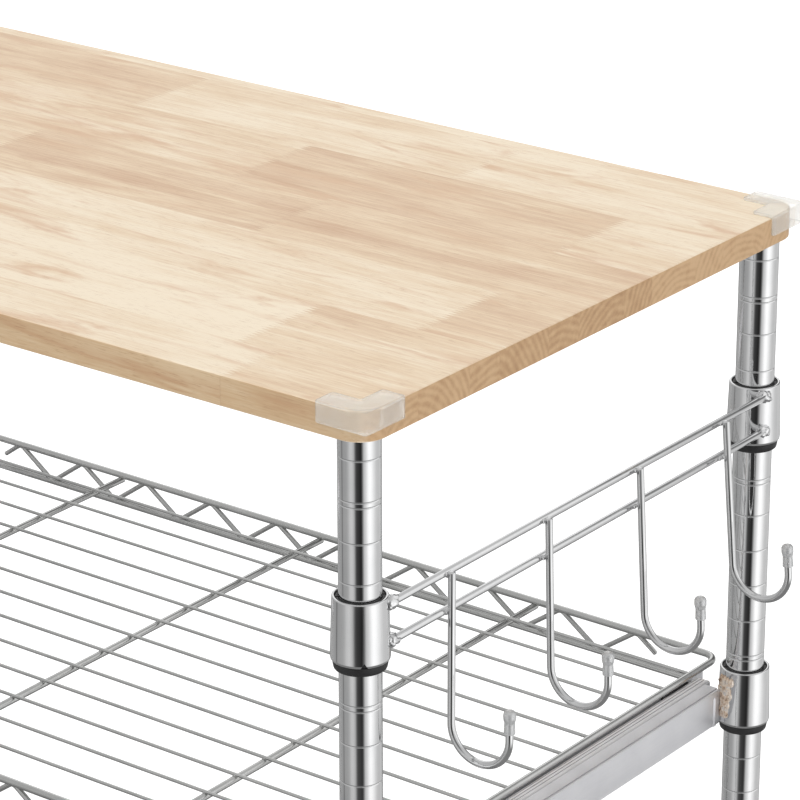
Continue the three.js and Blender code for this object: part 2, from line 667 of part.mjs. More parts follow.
// The wheel, with a flat of its rim facing straight down.
function casterWheel() {
  const half = WHEEL_WIDTH / 2;
  const web = half - WHEEL_RECESS;
  const bore = AXLE_RADIUS + GAP;
  const slope = WHEEL_RECESS; // the sides of a recess flare out by this much
  const rim = WHEEL_RADIUS - TYRE_DEPTH;
  const disc = turned([
    [bore, -half],
    [WHEEL_BOSS_RADIUS, -half],
    [WHEEL_BOSS_RADIUS + slope, -web],
    [rim - slope, -web],
    [rim, -half],
    [WHEEL_RADIUS, -web],
    [WHEEL_RADIUS, web],
    [rim, half],
    [rim - slope, web],
    [WHEEL_BOSS_RADIUS + slope, web],
    [WHEEL_BOSS_RADIUS, half],
    [bore, half],
    [bore, -half],
  ], WHEEL_SIDES, Math.PI / WHEEL_SIDES);
  return disc.rotate([90, 0, 0]).translate([-WHEEL_TRAIL, 0, AXLE_Z]);
}

// The axle bolt, with a head outside each leg of the fork.
function casterAxle() {
  const reach = FORK_INSIDE / 2 + FORK_SHEET + GAP;
  const head = reach + AXLE_HEAD_HEIGHT;
  const bolt = turned([
    [0, -head], [AXLE_HEAD_RADIUS, -head], [AXLE_HEAD_RADIUS, -reach], [AXLE_RADIUS, -reach],
    [AXLE_RADIUS, reach], [AXLE_HEAD_RADIUS, reach], [AXLE_HEAD_RADIUS, head], [0, head],
  ], BOLT_SIDES);
  return bolt.rotate([90, 0, 0]).translate([-WHEEL_TRAIL, 0, AXLE_Z]);
}

// The brake pedal: a bent plate on a pin through the fork's legs.
function brakePedal() {
  const [px, pz] = [-PEDAL_PIVOT_X, PEDAL_PIVOT_Z];
  const outline = polygon(PEDAL_OUTLINE.map(([u, v]) => [px + u, pz + v]));
  const reach = FORK_INSIDE / 2 + FORK_SHEET;
  const pin = bar([px, -reach, pz], [px, reach, pz], PEDAL_PIN_RADIUS, BOLT_SIDES);
  return plate(outline, -PEDAL_WIDTH / 2, PEDAL_WIDTH / 2).add(pin);
}

for (const { name, x, y } of CORNERS) {
  const braked = name.startsWith("front");
  addNode("caster_stem_" + name, casterStem().translate([x, y, 0]), SATIN_STEEL);
  addNode("caster_fork_" + name, casterFork(braked).translate([x, y, 0]), SATIN_STEEL);
  addNode("caster_wheel_" + name, casterWheel().translate([x, y, 0]), GREY_RUBBER);
  addNode("caster_axle_" + name, casterAxle().translate([x, y, 0]), SATIN_STEEL);
  if (braked) {
    addNode("brake_pedal_" + name, brakePedal().translate([x, y, 0]), BLACK_PLASTIC);
  }
}

// ---- Origin: on the floor, at the middle of the bounding box ----

const middle = new THREE.Box3().setFromObject(cart).getCenter(new THREE.Vector3());
cart.position.set(-middle.x, -middle.y, 0);

export default cart;
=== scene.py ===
import math

import bmesh
import bpy
from mathutils import Matrix, Vector, noise


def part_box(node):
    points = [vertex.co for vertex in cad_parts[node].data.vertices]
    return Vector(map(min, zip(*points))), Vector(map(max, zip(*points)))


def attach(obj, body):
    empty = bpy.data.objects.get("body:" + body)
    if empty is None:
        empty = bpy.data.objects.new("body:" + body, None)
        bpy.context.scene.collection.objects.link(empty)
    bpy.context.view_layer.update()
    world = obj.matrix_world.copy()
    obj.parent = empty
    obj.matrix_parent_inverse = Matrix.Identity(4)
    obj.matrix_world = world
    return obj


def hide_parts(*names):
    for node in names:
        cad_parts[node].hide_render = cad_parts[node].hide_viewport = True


# The looks of a rolling kitchen island cart: a rubberwood top on grooved chrome posts, a hook rail,
# a wire shelf that pulls out on slides, a fixed wire shelf and four swivel casters.
# Metres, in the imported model's own frame: +Z is up, -Y is the front, +X is the hook rail's side.

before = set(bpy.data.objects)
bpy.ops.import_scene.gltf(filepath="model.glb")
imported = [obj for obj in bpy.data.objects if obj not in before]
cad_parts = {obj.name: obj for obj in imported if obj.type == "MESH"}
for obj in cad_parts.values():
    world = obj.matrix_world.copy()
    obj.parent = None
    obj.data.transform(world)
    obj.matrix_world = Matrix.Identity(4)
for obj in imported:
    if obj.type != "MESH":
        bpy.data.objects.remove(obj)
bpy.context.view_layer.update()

MM = 0.001
TURN = 2 * math.pi
CORNERS = ("front_right", "back_right", "back_left", "front_left")
SIDES = {"right": 1, "left": -1}


def mm(*values):
    """Millimetres, as a list in metres."""
    return [value * MM for value in values]


# ---- Places, read from the frame ----

def low(node):
    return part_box(node)[0]


def high(node):
    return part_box(node)[1]


def middle(node):
    return (low(node) + high(node)) / 2


POSTS = {corner: middle("post_" + corner) for corner in CORNERS}
MIDDLE_X = (POSTS["front_right"].x + POSTS["front_left"].x) / 2
HALF_X = (POSTS["front_right"].x - POSTS["front_left"].x) / 2
HALF_Y = (POSTS["back_right"].y - POSTS["front_right"].y) / 2
POST_RADIUS = (high("post_front_right").x - low("post_front_right").x) / 2
WOOD_MIDDLE = middle("wood_top")
WOOD_HALF = (high("wood_top") - low("wood_top")) / 2
RAIL_COLLAR_TOP = high("rail_collar_front").z
BRACKET_COLLAR_TOP = high("slide_bracket_right").z
SHELF_COLLAR_TOP = high("bottom_shelf").z
COLLAR_HEIGHT = RAIL_COLLAR_TOP - low("rail_collar_front").z
COLLAR_BOTTOM_RADIUS = (high("rail_collar_front").x - low("rail_collar_front").x) / 2


def spot_on_post(corner, z=0.0):
    return Vector((POSTS[corner].x, POSTS[corner].y, z))


def placed(spot, angle, axis):
    """Takes a shape to a spot, after a turn about an axis."""
    return Matrix.Translation(spot) @ Matrix.Rotation(angle, 4, axis)


# ---- Sizes that the frame's boxes don't give ----

POST_WALL = 1.2 * MM
GROOVE_PITCH = 25.4 * MM
FIRST_GROOVE_DROP = 13.3 * MM  # the top groove, below the top end of the post
GROOVE_WIDTH = 1.1 * MM
GROOVE_DEPTH = 0.34 * MM
# Across a groove, in halves of its width, and how deep it is there. The first and last places
# keep the shading of the plain tube beside the groove straight.
GROOVE_SHAPE = (
    (-1.5, 0), (-1, 0), (-0.55, 0.35), (-0.2, 0.95), (0.2, 0.95), (0.55, 0.35), (1, 0), (1.5, 0),
)
DOUBLE_GROOVE_DROP = 3.3 * MM  # the second line of a double groove
DOUBLE_GROOVE_EVERY = 5
COLLAR_TOP_RADIUS = 16.5 * MM
COLLAR_WALL = 2.2 * MM
NOTCH_WIDTH = 5 * MM
NOTCH_HEIGHT = 3.6 * MM
SLEEVE_LIP_HEIGHT = 5.5 * MM
SLEEVE_LIP_RADIUS = 16.6 * MM
SLEEVE_TOP_DROP = 0.8 * MM
SLEEVE_SPLIT = math.radians(2.5)  # half the gap between the sleeve's two halves
ROD_RADIUS = 2.4 * MM
HOOK_BEND_RADIUS = 21 * MM
HOOK_TIP_RISE = 42 * MM
HOOK_LEAN_STEP = math.radians(1.65)
TOP_CORNER_RADIUS = 18 * MM
TOP_EDGE_RADIUS = 1.4 * MM
GUARD_ARM = 37 * MM
GUARD_WIDTH = 17 * MM
GUARD_FOOT_LIFT = 3 * MM  # the soft cap's foot, above that of its seat in the CAD model
BRACKET_WALL = 1.2 * MM
BRACKET_INSET = 9 * MM  # the bracket's outer face, in from the post axis
BRACKET_WIDTH = 12 * MM
BRACKET_HEIGHT = 25.2 * MM
BRACKET_TOP_DROP = 14.5 * MM  # the bracket's top face, below its collars' tops
BRACKET_TUBE_END = 16 * MM  # where the tube starts and stops, from a post axis
BRACKET_TAB_END = 13 * MM
BRACKET_RIDGE_END = 21.6 * MM  # a pressed upright ridge near each end, from the post axis
BRACKET_RIDGE_RADIUS = 3.2 * MM
BRACKET_RIDGE_HEIGHT = 0.8 * MM
BRACKET_RIDGE_DROP = 5 * MM  # its top end, below the bracket's top face
BRACKET_CREASE_INSET = 1.3 * MM  # the fold line along the tube's top, in from its outer face
BRACKET_CREASE_WIDTH = 1.1 * MM
BRACKET_CREASE_DEPTH = 0.9 * MM
SLIDE_SHEET = 1.1 * MM
SLIDE_LINES = mm(1.4, 3.6, 6.2)  # in from the edge of the slide's lip
SLIDE_LINE_WIDTH = 0.8 * MM
SHELF_RIM_RADIUS = 2.4 * MM
SHELF_CORNER_RADIUS = 11 * MM
SHELF_TRUSS_DROP = 22.5 * MM
SHELF_ZIGZAG_LEFT = 9.3 * MM
SHELF_PLATE_INSET = 34.3 * MM
SHELF_PLATE_SHEET = 1.2 * MM
SHELF_PLATE_DROP = 11.5 * MM
SHELF_PLATE_HEIGHT = 27 * MM
DECK_WIRE_RADIUS = 1.15 * MM
DECK_WIRE_COUNT = 13
DECK_WIRE_PITCH = 29.6 * MM
CROSS_WIRE_RADIUS = 2.4 * MM
CROSS_WIRE_PITCH = 190 * MM
ZIGZAG_RADIUS = 1.75 * MM
ZIGZAG_BEND = 5 * MM
ZIGZAG_END_GAP = 28.9 * MM
ZIGZAG_PEAKS_X = 10
ZIGZAG_PEAKS_Y = 6
BOTTOM_TRUSS_DROP = 28 * MM
BOTTOM_RIM_RADIUS = 2.6 * MM
BOTTOM_RIM_END = 16.4 * MM  # from the post axis
BOTTOM_RIM_DROP = 6.5 * MM  # the upper rim wire, below the tops of the shelf's collars


# ---- Shapes ----

class Solid:
    """Points and faces of one piece, gathered part by part."""

    def __init__(self, points=(), faces=()):
        self.points = list(points)
        self.faces = list(faces)

    def add(self, other, matrix=Matrix.Identity(4)):
        start = len(self.points)
        self.points += [matrix @ point for point in other.points]
        self.faces += [tuple(start + i for i in face) for face in other.faces]
        return self

    def moved(self, matrix):
        return Solid().add(self, matrix)


def skin(rings, closed=False, wrap=True):
    """Quads over a row of rings. A closed row joins its last ring to its first, and an open row
    of wrapped rings gets a face over each end."""
    count = len(rings[0])
    solid = Solid([point for ring in rings for point in ring])
    for i in range(len(rings) if closed else len(rings) - 1):
        here, there = i * count, (i + 1) % len(rings) * count
        for k in range(count if wrap else count - 1):
            m = (k + 1) % count
            solid.faces.append((here + k, here + m, there + m, there + k))
    if wrap and not closed:
        solid.faces.append(tuple(range(count)))
        solid.faces.append(tuple(range(len(solid.points) - count, len(solid.points))))
    return solid


def revolve(profile, segments, start=0.0, sweep=TURN):
    """A profile of (radius, z) turned about Z. It closes on the axis or on itself."""
    whole = sweep == TURN
    on_axis = profile[0][0] == 0 and profile[-1][0] == 0
    rings = []
    for k in range(segments if whole else segments + 1):
        angle = start + sweep * k / segments
        rings.append([Vector((r * math.cos(angle), r * math.sin(angle), z)) for r, z in profile])
    return skin(rings, closed=whole, wrap=not on_axis)


def rounded(corners, radius, steps=4, loop=True):
    """Corner points with each corner rounded. The radius is one number or a list."""
    points = [Vector(corner).to_3d() for corner in corners]
    count = len(points)
    radii = list(radius) if hasattr(radius, "__len__") else [radius] * count
    path = []
    for i, (point, bend) in enumerate(zip(points, radii)):
        if not bend or (not loop and i in (0, count - 1)):
            path.append(point)
            continue
        back = (points[i - 1] - point).normalized()
        ahead = (points[(i + 1) % count] - point).normalized()
        half = back.angle(ahead) / 2
        centre = point + (back + ahead).normalized() * (bend / math.sin(half))
        arm = point + back * (bend / math.tan(half)) - centre
        axis = back.cross(ahead).normalized()
        for k in range(steps + 1):
            turn = -(math.pi - 2 * half) * k / steps
            path.append(centre + Matrix.Rotation(turn, 3, axis) @ arm)
    return path


def outline(corners, radius=0.0, steps=4, loop=True):
    """A flat outline with rounded corners, as pairs of numbers."""
    return [(point.x, point.y) for point in rounded(corners, radius, steps, loop)]


def along_z(section, z0, z1):
    return skin([[Vector((u, v, z)) for u, v in section] for z in (z0, z1)])


def along_x(section, x0, x1):
    """A section in Y and Z, extruded from one X to another."""
    return skin([[Vector((x, u, v)) for u, v in section] for x in (x0, x1)])


def along_y(section, y0, y1):
    """A section in X and Z, extruded from one Y to another."""
    return skin([[Vector((u, y, v)) for u, v in section] for y in (y0, y1)])


def box_section(x0, x1, z0, z1):
    return [(x0, z0), (x1, z0), (x1, z1), (x0, z1)]


def bent_sheet(corners, thickness, bend, steps=4):
    """The outline of a sheet bent at each inner corner. The corners lie on the face that is
    outside its bends, and they turn to the left."""
    points = [Vector(corner) for corner in corners]
    inner = []
    for i, point in enumerate(points):
        runs = []
        if i:
            runs.append(point - points[i - 1])
        if i < len(points) - 1:
            runs.append(points[i + 1] - point)
        normals = [Vector((-run.y, run.x)).normalized() for run in runs]
        spread = sum(normals, Vector((0, 0)))
        inner.append(point + spread * thickness * len(normals) / spread.length_squared)
    face = outline(points, bend + thickness, steps, loop=False)
    return face + outline(inner, bend, steps, loop=False)[::-1]


def tube(path, radius, sides=14, loop=False):
    """A round wire along a path, with domed ends unless it is a loop."""
    points = [Vector(point) for point in path]
    count = len(points)
    tangents = []
    for i in range(count):
        back = points[i - 1] if loop or i else points[0]
        ahead = points[(i + 1) % count] if loop or i < count - 1 else points[-1]
        tangents.append((ahead - back).normalized())
    across = tangents[0].orthogonal().normalized()
    stations = []
    for i in range(count):
        across = (across - tangents[i] * across.dot(tangents[i])).normalized()
        stations.append((points[i], across.copy(), tangents[i], radius))
    if not loop:
        stations = dome(stations[0], -1)[::-1] + stations + dome(stations[-1], 1)
    rings = []
    for point, side, tangent, size in stations:
        other = tangent.cross(side)
        angles = [TURN * k / sides for k in range(sides)]
        rings.append([point + (side * math.cos(a) + other * math.sin(a)) * size for a in angles])
    return skin(rings, closed=loop)


def dome(station, direction, reach=0.5, steps=3):
    """Shrinking stations that end a wire in a shallow dome."""
    point, side, tangent, radius = station
    stations = []
    for k in range(1, steps + 1):
        angle = math.radians(80) * k / steps
        ahead = tangent * (direction * reach * radius * math.sin(angle))
        stations.append((point + ahead, side, tangent, radius * math.cos(angle)))
    return stations


def bead(place, size, seed, rough, fineness=3):
    """A lump of weld metal: a ball pushed in and out by noise, then stretched."""
    mesh = bmesh.new()
    bmesh.ops.create_icosphere(mesh, subdivisions=fineness, radius=1)
    shift = Vector((seed * 3.7, seed * 1.3, seed * 5.1))
    points = []
    for vert in mesh.verts:
        swell = (1 + rough * noise.noise(vert.co * 1.6 + shift)
                 + rough / 3 * noise.noise(vert.co * 5 + shift))
        points.append(Vector(place) + Vector(a * b for a, b in zip(vert.co * swell, size)))
    solid = Solid(points, [tuple(vert.index for vert in face.verts) for face in mesh.faces])
    mesh.free()
    return solid


def mesh_object(name, solid):
    """An object with the solid's mesh: merged points and faces that look outwards."""
    mesh = bpy.data.meshes.new(name)
    mesh.from_pydata(solid.points, [], solid.faces)
    work = bmesh.new()
    work.from_mesh(mesh)
    bmesh.ops.remove_doubles(work, verts=work.verts, dist=1e-6)
    bmesh.ops.recalc_face_normals(work, faces=work.faces)
    work.to_mesh(mesh)
    work.free()
    thing = bpy.data.objects.new(name, mesh)
    bpy.context.scene.collection.objects.link(thing)
    return thing


def eased(solid, width, angle=60, steps=3):
    """The solid with its edges sharper than an angle rounded off."""
    mesh = mesh_object("whole", solid)
    work = bmesh.new()
    work.from_mesh(mesh.data)
    edges = [edge for edge in work.edges if edge.calc_face_angle() > math.radians(angle)]
    bmesh.ops.bevel(work, geom=edges, offset=width, segments=steps, profile=0.5, affect="EDGES")
    result = Solid([vert.co.copy() for vert in work.verts],
                   [tuple(vert.index for vert in face.verts) for face in work.faces])
    work.free()
    bpy.data.meshes.remove(mesh.data)
    return result


def carved(solid, cutter):
    """The solid with the cutter's shape taken out of it."""
    whole, tool = mesh_object("whole", solid), mesh_object("tool", cutter)
    change = whole.modifiers.new("cut", "BOOLEAN")
    change.operation = "DIFFERENCE"
    change.solver = "EXACT"
    change.object = tool
    graph = bpy.context.evaluated_depsgraph_get()
    mesh = bpy.data.meshes.new_from_object(whole.evaluated_get(graph))
    result = Solid([vert.co.copy() for vert in mesh.vertices], [tuple(f.vertices) for f in mesh.polygons])
    for thing in (whole, tool):
        bpy.data.meshes.remove(thing.data)
    bpy.data.meshes.remove(mesh)
    return result


def piece(name, solid, finish, nodes=(), body="frame", bevel=0.0, sharp=38):
    """A finished piece that rides a body and may stand for CAD nodes. A finish is a material and its slot;
    the slot is not used."""
    material, slot = finish
    thing = mesh_object(name, solid)
    thing.data.materials.append(material)
    thing.data.shade_smooth()
    thing.data.set_sharp_from_angle(angle=math.radians(sharp))
    if bevel:
        edge = thing.modifiers.new("edges", "BEVEL")
        edge.width = bevel
        edge.segments = 2
        edge.limit_method = "ANGLE"
        edge.angle_limit = math.radians(sharp)
        edge.harden_normals = True
    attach(thing, body)
    if nodes:
        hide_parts(*nodes)
    return thing


# ---- Shader nodes ----

class Nodes:
    """A node tree, written out as calls. A value is a number, a colour or another node's output."""

    def __init__(self, tree):
        self.tree = tree

    def put(self, kind, inputs, **settings):
        node = self.tree.nodes.new("ShaderNode" + kind)
        for key, value in settings.items():
            setattr(node, key, value)
        self.plug(node, inputs)
        return node

    def plug(self, node, inputs):
        for key, value in inputs.items():
            if isinstance(value, bpy.types.NodeSocket):
                self.tree.links.new(value, node.inputs[key])
            else:
                node.inputs[key].default_value = value

    def math(self, operation, first, second=0.0):
        return self.put("Math", {0: first, 1: second}, operation=operation).outputs[0]

    def vector(self, operation, first, second):
        return self.put("VectorMath", {0: first, 1: second}, operation=operation).outputs["Vector"]

    def joined(self, x, y, z):
        return self.put("CombineXYZ", {0: x, 1: y, 2: z}).outputs[0]

    def noise(self, vector, scale=1.0, detail=3.0, roughness=0.5, distortion=0.0):
        node = self.put("TexNoise", {
            "Vector": vector, "Scale": scale, "Detail": detail,
            "Roughness": roughness, "Distortion": distortion})
        return node.outputs["Fac"]

    def span(self, value, from_low, from_high, to_low, to_high, smooth=False):
        node = self.put("MapRange", {
            "Value": value, "From Min": from_low, "From Max": from_high,
            "To Min": to_low, "To Max": to_high})
        if smooth:
            node.interpolation_type = "SMOOTHSTEP"
        return node.outputs["Result"]

    def ramp(self, value, stops, interpolation="LINEAR"):
        node = self.put("ValToRGB", {"Fac": value})
        band = node.color_ramp
        band.interpolation = interpolation
        for element, (position, color) in zip(band.elements, (stops[0], stops[-1])):
            element.position = position
            element.color = (*color, 1)
        for position, color in stops[1:-1]:
            band.elements.new(position).color = (*color, 1)
        return node.outputs["Color"]

    def mix(self, factor, first, second, blend="MIX"):
        """Colours mixed by a factor."""
        colors = [color if isinstance(color, bpy.types.NodeSocket) else (*color, 1)
                  for color in (first, second)]
        node = self.put("Mix", {}, data_type="RGBA", blend_type=blend)
        self.plug(node, {0: factor, 6: colors[0], 7: colors[1]})
        return node.outputs[2]


class Graph(Nodes):
    """A material's nodes, round its Principled shader."""

    def __init__(self, name):
        self.material = bpy.data.materials.new(name)
        self.material.use_nodes = True
        super().__init__(self.material.node_tree)
        self.shader = self.tree.nodes["Principled BSDF"]
        self.place = self.put("TexCoord", {}).outputs["Object"]

    def set(self, **inputs):
        """Sets the shader's inputs: Base_Color=... is its socket Base Color."""
        self.plug(self.shader, {key.replace("_", " "): value for key, value in inputs.items()})

    def stretched(self, scale):
        """The place on the object, scaled by three numbers."""
        return self.vector("MULTIPLY", self.place, scale)

    def bump(self, height, distance):
        node = self.put("Bump", {"Height": height, "Distance": distance, "Strength": 1.0})
        self.set(Normal=node.outputs["Normal"])


def metal(name, dark, light, smooth_finish, dull_finish, grain=(1, 1, 1), scratch=0.006 * MM,
          metallic=1.0):
    """Plated or bare steel: clouded colour and gloss, with fine marks along its grain."""
    g = Graph(name)
    cloud = g.noise(g.place, 35, 4, 0.6)
    marks = g.noise(g.stretched([900 * scale for scale in grain]), 1, 2, 0.6)
    wear = g.math("ADD", g.math("MULTIPLY", cloud, 0.7), g.math("MULTIPLY", marks, 0.3))
    g.set(Metallic=metallic)
    g.set(Base_Color=g.ramp(wear, [(0.35, dark), (0.65, light)]))
    g.set(Roughness=g.span(wear, 0.3, 0.7, smooth_finish, dull_finish))
    g.bump(marks, scratch)
    return g.material


def moulded(name, dark, light, roughness, grain_size, depth):
    """Moulded plastic or rubber with a fine texture and slightly uneven gloss."""
    g = Graph(name)
    grain = g.noise(g.place, 1 / grain_size, 3, 0.6)
    cloud = g.noise(g.place, 60, 3, 0.5)
    g.set(Base_Color=g.ramp(cloud, [(0.35, dark), (0.65, light)]))
    g.set(Roughness=g.span(cloud, 0.3, 0.7, roughness - 0.06, roughness + 0.08))
    g.bump(grain, depth)
    return g.material


def frosted(name, tint, transmission, roughness, metallic=0.0, alpha=1.0):
    """Soft clear plastic with a frosted face, cloudy spots and shallow moulding waves."""
    g = Graph(name)
    cloud = g.noise(g.place, 120, 3, 0.6)
    waves = g.noise(g.place, 90, 1, 0.4)
    g.set(Base_Color=g.ramp(cloud, [(0.3, [0.95 * part for part in tint]), (0.7, tint)]))
    g.set(Roughness=g.span(cloud, 0.3, 0.7, 0.85 * roughness, 1.2 * roughness))
    g.set(Transmission_Weight=transmission, IOR=1.46, Metallic=metallic, Alpha=alpha)
    g.bump(waves, 0.02 * MM)
    return g.material


def heat_tint_and_painted_shade():
    """Weld metal browned by its heat, with grey steel between, and painted shade in the gaps between its
    lumps.
    """
    g = Graph("heat_tint_and_painted_shade_weld")
    cloud = g.noise(g.place, 260, 4, 0.6)
    # Painted shade: the darkest stop darkens spots as if they were shaded gaps between lumps; the browns
    # and greys after it are heat tint and steel
    brown = g.ramp(cloud, [
        (0.34, (0.28, 0.18, 0.12)), (0.44, (0.72, 0.56, 0.43)),
        (0.54, (0.90, 0.79, 0.68)), (0.66, (0.70, 0.68, 0.66)), (0.76, (0.42, 0.40, 0.39))])
    g.set(Base_Color=brown, Metallic=0.45, Roughness=g.span(cloud, 0.3, 0.7, 0.42, 0.25))
    g.bump(g.noise(g.place, 900, 3, 0.6), 0.05 * MM)
    return g.material


# The glued boards of the top, row by row from the front. A row has the Y where it ends and then
# its boards from left to right: the X of the board's right end, and its tone from 0, cream, to
# 1, pinkish brown. Millimetres in the frame.
WOOD_ROWS = (
    (-181, ((-250, 0.3), (-20, 0.12), (283, 0.1), (400, 0.27))),
    (-102, ((-330, 0.15), (-90, 0.42), (255, 0.0), (400, 0.34))),
    (-23, ((-290, 0.5), (-150, 0.2), (327, 0.16), (400, 0.52))),
    (56, ((-310, 0.3), (-110, 0.35), (137, 0.6), (400, 0.55))),
    (136, ((-270, 0.2), (57, 0.32), (312, 0.6), (400, 0.16))),
    (215, ((-330, 0.3), (-100, 0.52), (175, 0.2), (400, 0.14))),
    (230, ((-200, 0.1), (20, 0.2), (240, 0.05), (400, 0.12))),
)
BOARDS_IN_ROW = 4
JOINT_PITCH = 3.2 * MM
JOINT_LENGTH = 7 * MM
WOOD_CREAM = (0.865, 0.745, 0.575)
WOOD_TAN = (0.765, 0.60, 0.42)
WOOD_PINK = (0.61, 0.41, 0.27)
WOOD_STAIN = (0.67, 0.455, 0.295)
WOOD_PORE = (0.45, 0.27, 0.15)
WOOD_SEAM = (0.38, 0.24, 0.14)
WOOD_SIDE_PAINTED_SHADE = (0.61, 0.52, 0.405)  # painted shade: multiplies the colour on the front and back edges
END_GRAIN = ((0.0, (0.57, 0.375, 0.205)), (0.35, (0.465, 0.285, 0.145)), (0.8, (0.33, 0.18, 0.085)))
# The tree's centre, as each board's end shows it: where it lies across a strip steps from board to
# board, and its height is below the top
STRIP_WIDTH = 79 * MM
RING_STEP = 37.1 * MM
RING_SPREAD = 80 * MM
RING_HEIGHT = 868 * MM
RING_WIDTH = 2.4 * MM


def rubberwood():
    """Strips glued edge to edge, each of finger-jointed boards with a grain of its own."""
    g = Graph("rubberwood")
    x, y, z = g.put("SeparateXYZ", {"Vector": g.place}).outputs
    row_count = len(WOOD_ROWS)
    y0, y1 = low("wood_top").y, high("wood_top").y
    reach = 0.5  # X positions in the ramps are stored from -reach to +reach as 0 to 1

    def stored(position):
        return (position * MM + reach) / (2 * reach)

    starts = [y0] + [end * MM for end, _ in WOOD_ROWS[:-1]]
    place_in_rows = g.span(y, y0, y1, 0, 1)
    joints, numbers = [], []
    for i, ((_, boards), start) in enumerate(zip(WOOD_ROWS, starts)):
        position = (start - y0) / (y1 - y0)
        joints.append((position, [stored(end) for end, _ in boards[:3]]))
        numbers.append((position, [i / row_count] * 3))
    row_joints = g.put("SeparateColor", {"Color": g.ramp(place_in_rows, joints, "CONSTANT")}).outputs
    row = g.math("MULTIPLY", g.ramp(place_in_rows, numbers, "CONSTANT"), row_count)

    # Which board this is, with toothed ends
    tooth = g.span(g.math("PINGPONG", y, JOINT_PITCH / 2), 0, JOINT_PITCH / 2,
                   -JOINT_LENGTH / 2, JOINT_LENGTH / 2)
    run = g.span(g.math("ADD", x, tooth), -reach, reach, 0, 1)
    board = g.math("MULTIPLY", row, BOARDS_IN_ROW)
    seam = 1.0
    for joint in row_joints:
        board = g.math("ADD", board, g.math("GREATER_THAN", run, joint))
        gap = g.math("ABSOLUTE", g.math("SUBTRACT", run, joint))
        seam = g.math("MINIMUM", seam, gap)
    board = g.math("ADD", board, 0.5)
    board_count = row_count * BOARDS_IN_ROW
    tones = [(i / board_count, [tone] * 3)
             for i, tone in enumerate(tone for _, boards in WOOD_ROWS for _, tone in boards)]
    tone = g.ramp(g.math("DIVIDE", board, board_count), tones, "CONSTANT")

    # Grain, different in each board
    whole_board = g.math("FLOOR", board)
    seed = g.joined(*[g.math("MULTIPLY", whole_board, step) for step in (1.7, 0.61, 0.37)])
    own_place = g.vector("ADD", g.place, seed)

    def grain(length, width, detail=3.0, roughness=0.5, distortion=0.0):
        scaled = g.vector("MULTIPLY", own_place, (1 / length, 1 / width, 1 / width))
        return g.noise(scaled, 1, detail, roughness, distortion)

    streaks = grain(260 * MM, 30 * MM, 5, 0.62, 0.9)
    bands = grain(170 * MM, 7 * MM, 3, 0.6, 0.3)
    fibres = grain(34 * MM, 1.1 * MM, 3, 0.6)
    pores = grain(9 * MM, 0.42 * MM, 1, 0.5)
    patches = grain(70 * MM, 40 * MM, 2, 0.5)
    pore = g.span(pores, 0.62, 0.74, 0, 1, smooth=True)

    # Growth rings round each board's own centre, seen as arcs on the end grain
    ring_y = g.math("MODULO", g.math("MULTIPLY", whole_board, RING_STEP), RING_SPREAD)
    in_strip = g.math("MODULO", g.math("ADD", y, 1), STRIP_WIDTH)
    from_centre = g.joined(0.0, g.math("SUBTRACT", in_strip, ring_y), g.math("SUBTRACT", z, RING_HEIGHT))
    radius = g.put("VectorMath", {0: from_centre}, operation="LENGTH").outputs["Value"]
    wobble = g.math("MULTIPLY", patches, 0.012)
    rings = g.math("PINGPONG", g.math("ADD", radius, wobble), RING_WIDTH)
    rings = g.span(rings, 0, RING_WIDTH, 0, 1, smooth=True)

    def weighted(*terms):
        total = 0.0
        for value, weight in terms:
            total = g.math("ADD", total, g.math("MULTIPLY", g.math("SUBTRACT", value, 0.5), weight))
        return total

    shade = g.math("ADD", g.math("MULTIPLY", tone, 1.15), weighted(
        (streaks, 1.3), (bands, 0.6), (patches, 0.6), (fibres, 1.1)))
    color = g.ramp(shade, [(0.0, WOOD_CREAM), (0.45, WOOD_TAN), (1.0, WOOD_PINK)])
    stain = g.span(grain(210 * MM, 34 * MM, 4, 0.6, 1.8), 0.5, 0.72, 0, 0.85, smooth=True)
    color = g.mix(stain, color, WOOD_STAIN)
    color = g.mix(g.math("MULTIPLY", pore, 0.5), color, WOOD_PORE)

    # End grain: darker, with arcs and open pores
    speck = g.noise(g.vector("MULTIPLY", own_place, (60, 1500, 1500)), 1, 2, 0.6)
    end_shade = g.math("ADD", g.math("MULTIPLY", tone, 0.5), weighted(
        (rings, 0.26), (bands, 0.8), (speck, 0.6)))
    end_color = g.ramp(end_shade, END_GRAIN)
    facing = g.put("SeparateXYZ", {"Vector": g.put("NewGeometry", {}).outputs["Normal"]}).outputs
    on_end = g.span(g.math("ABSOLUTE", facing[0]), 0.55, 0.85, 0, 1, smooth=True)
    on_side_painted_shade = g.span(g.math("ABSOLUTE", facing[1]), 0.55, 0.85, 0, 1, smooth=True)
    # Painted shade: the front and back edges are darkened, as if less lit than the top
    color = g.mix(g.math("MULTIPLY", on_side_painted_shade, 0.9), color, WOOD_SIDE_PAINTED_SHADE, "MULTIPLY")
    color = g.mix(on_end, color, end_color)

    # Fine dark lines where the boards' fingers meet
    in_seam = g.span(seam, 0.0, 0.7 * MM, 0.3, 0)
    color = g.mix(in_seam, color, WOOD_SEAM)
    g.set(Base_Color=color, Roughness=g.span(bands, 0.3, 0.7, 0.42, 0.52), Specular_IOR_Level=0.4)
    height = g.math("SUBTRACT", g.math("MULTIPLY", fibres, 0.4), g.math("MULTIPLY", pore, 0.6))
    g.bump(height, 0.03 * MM)
    return g.material
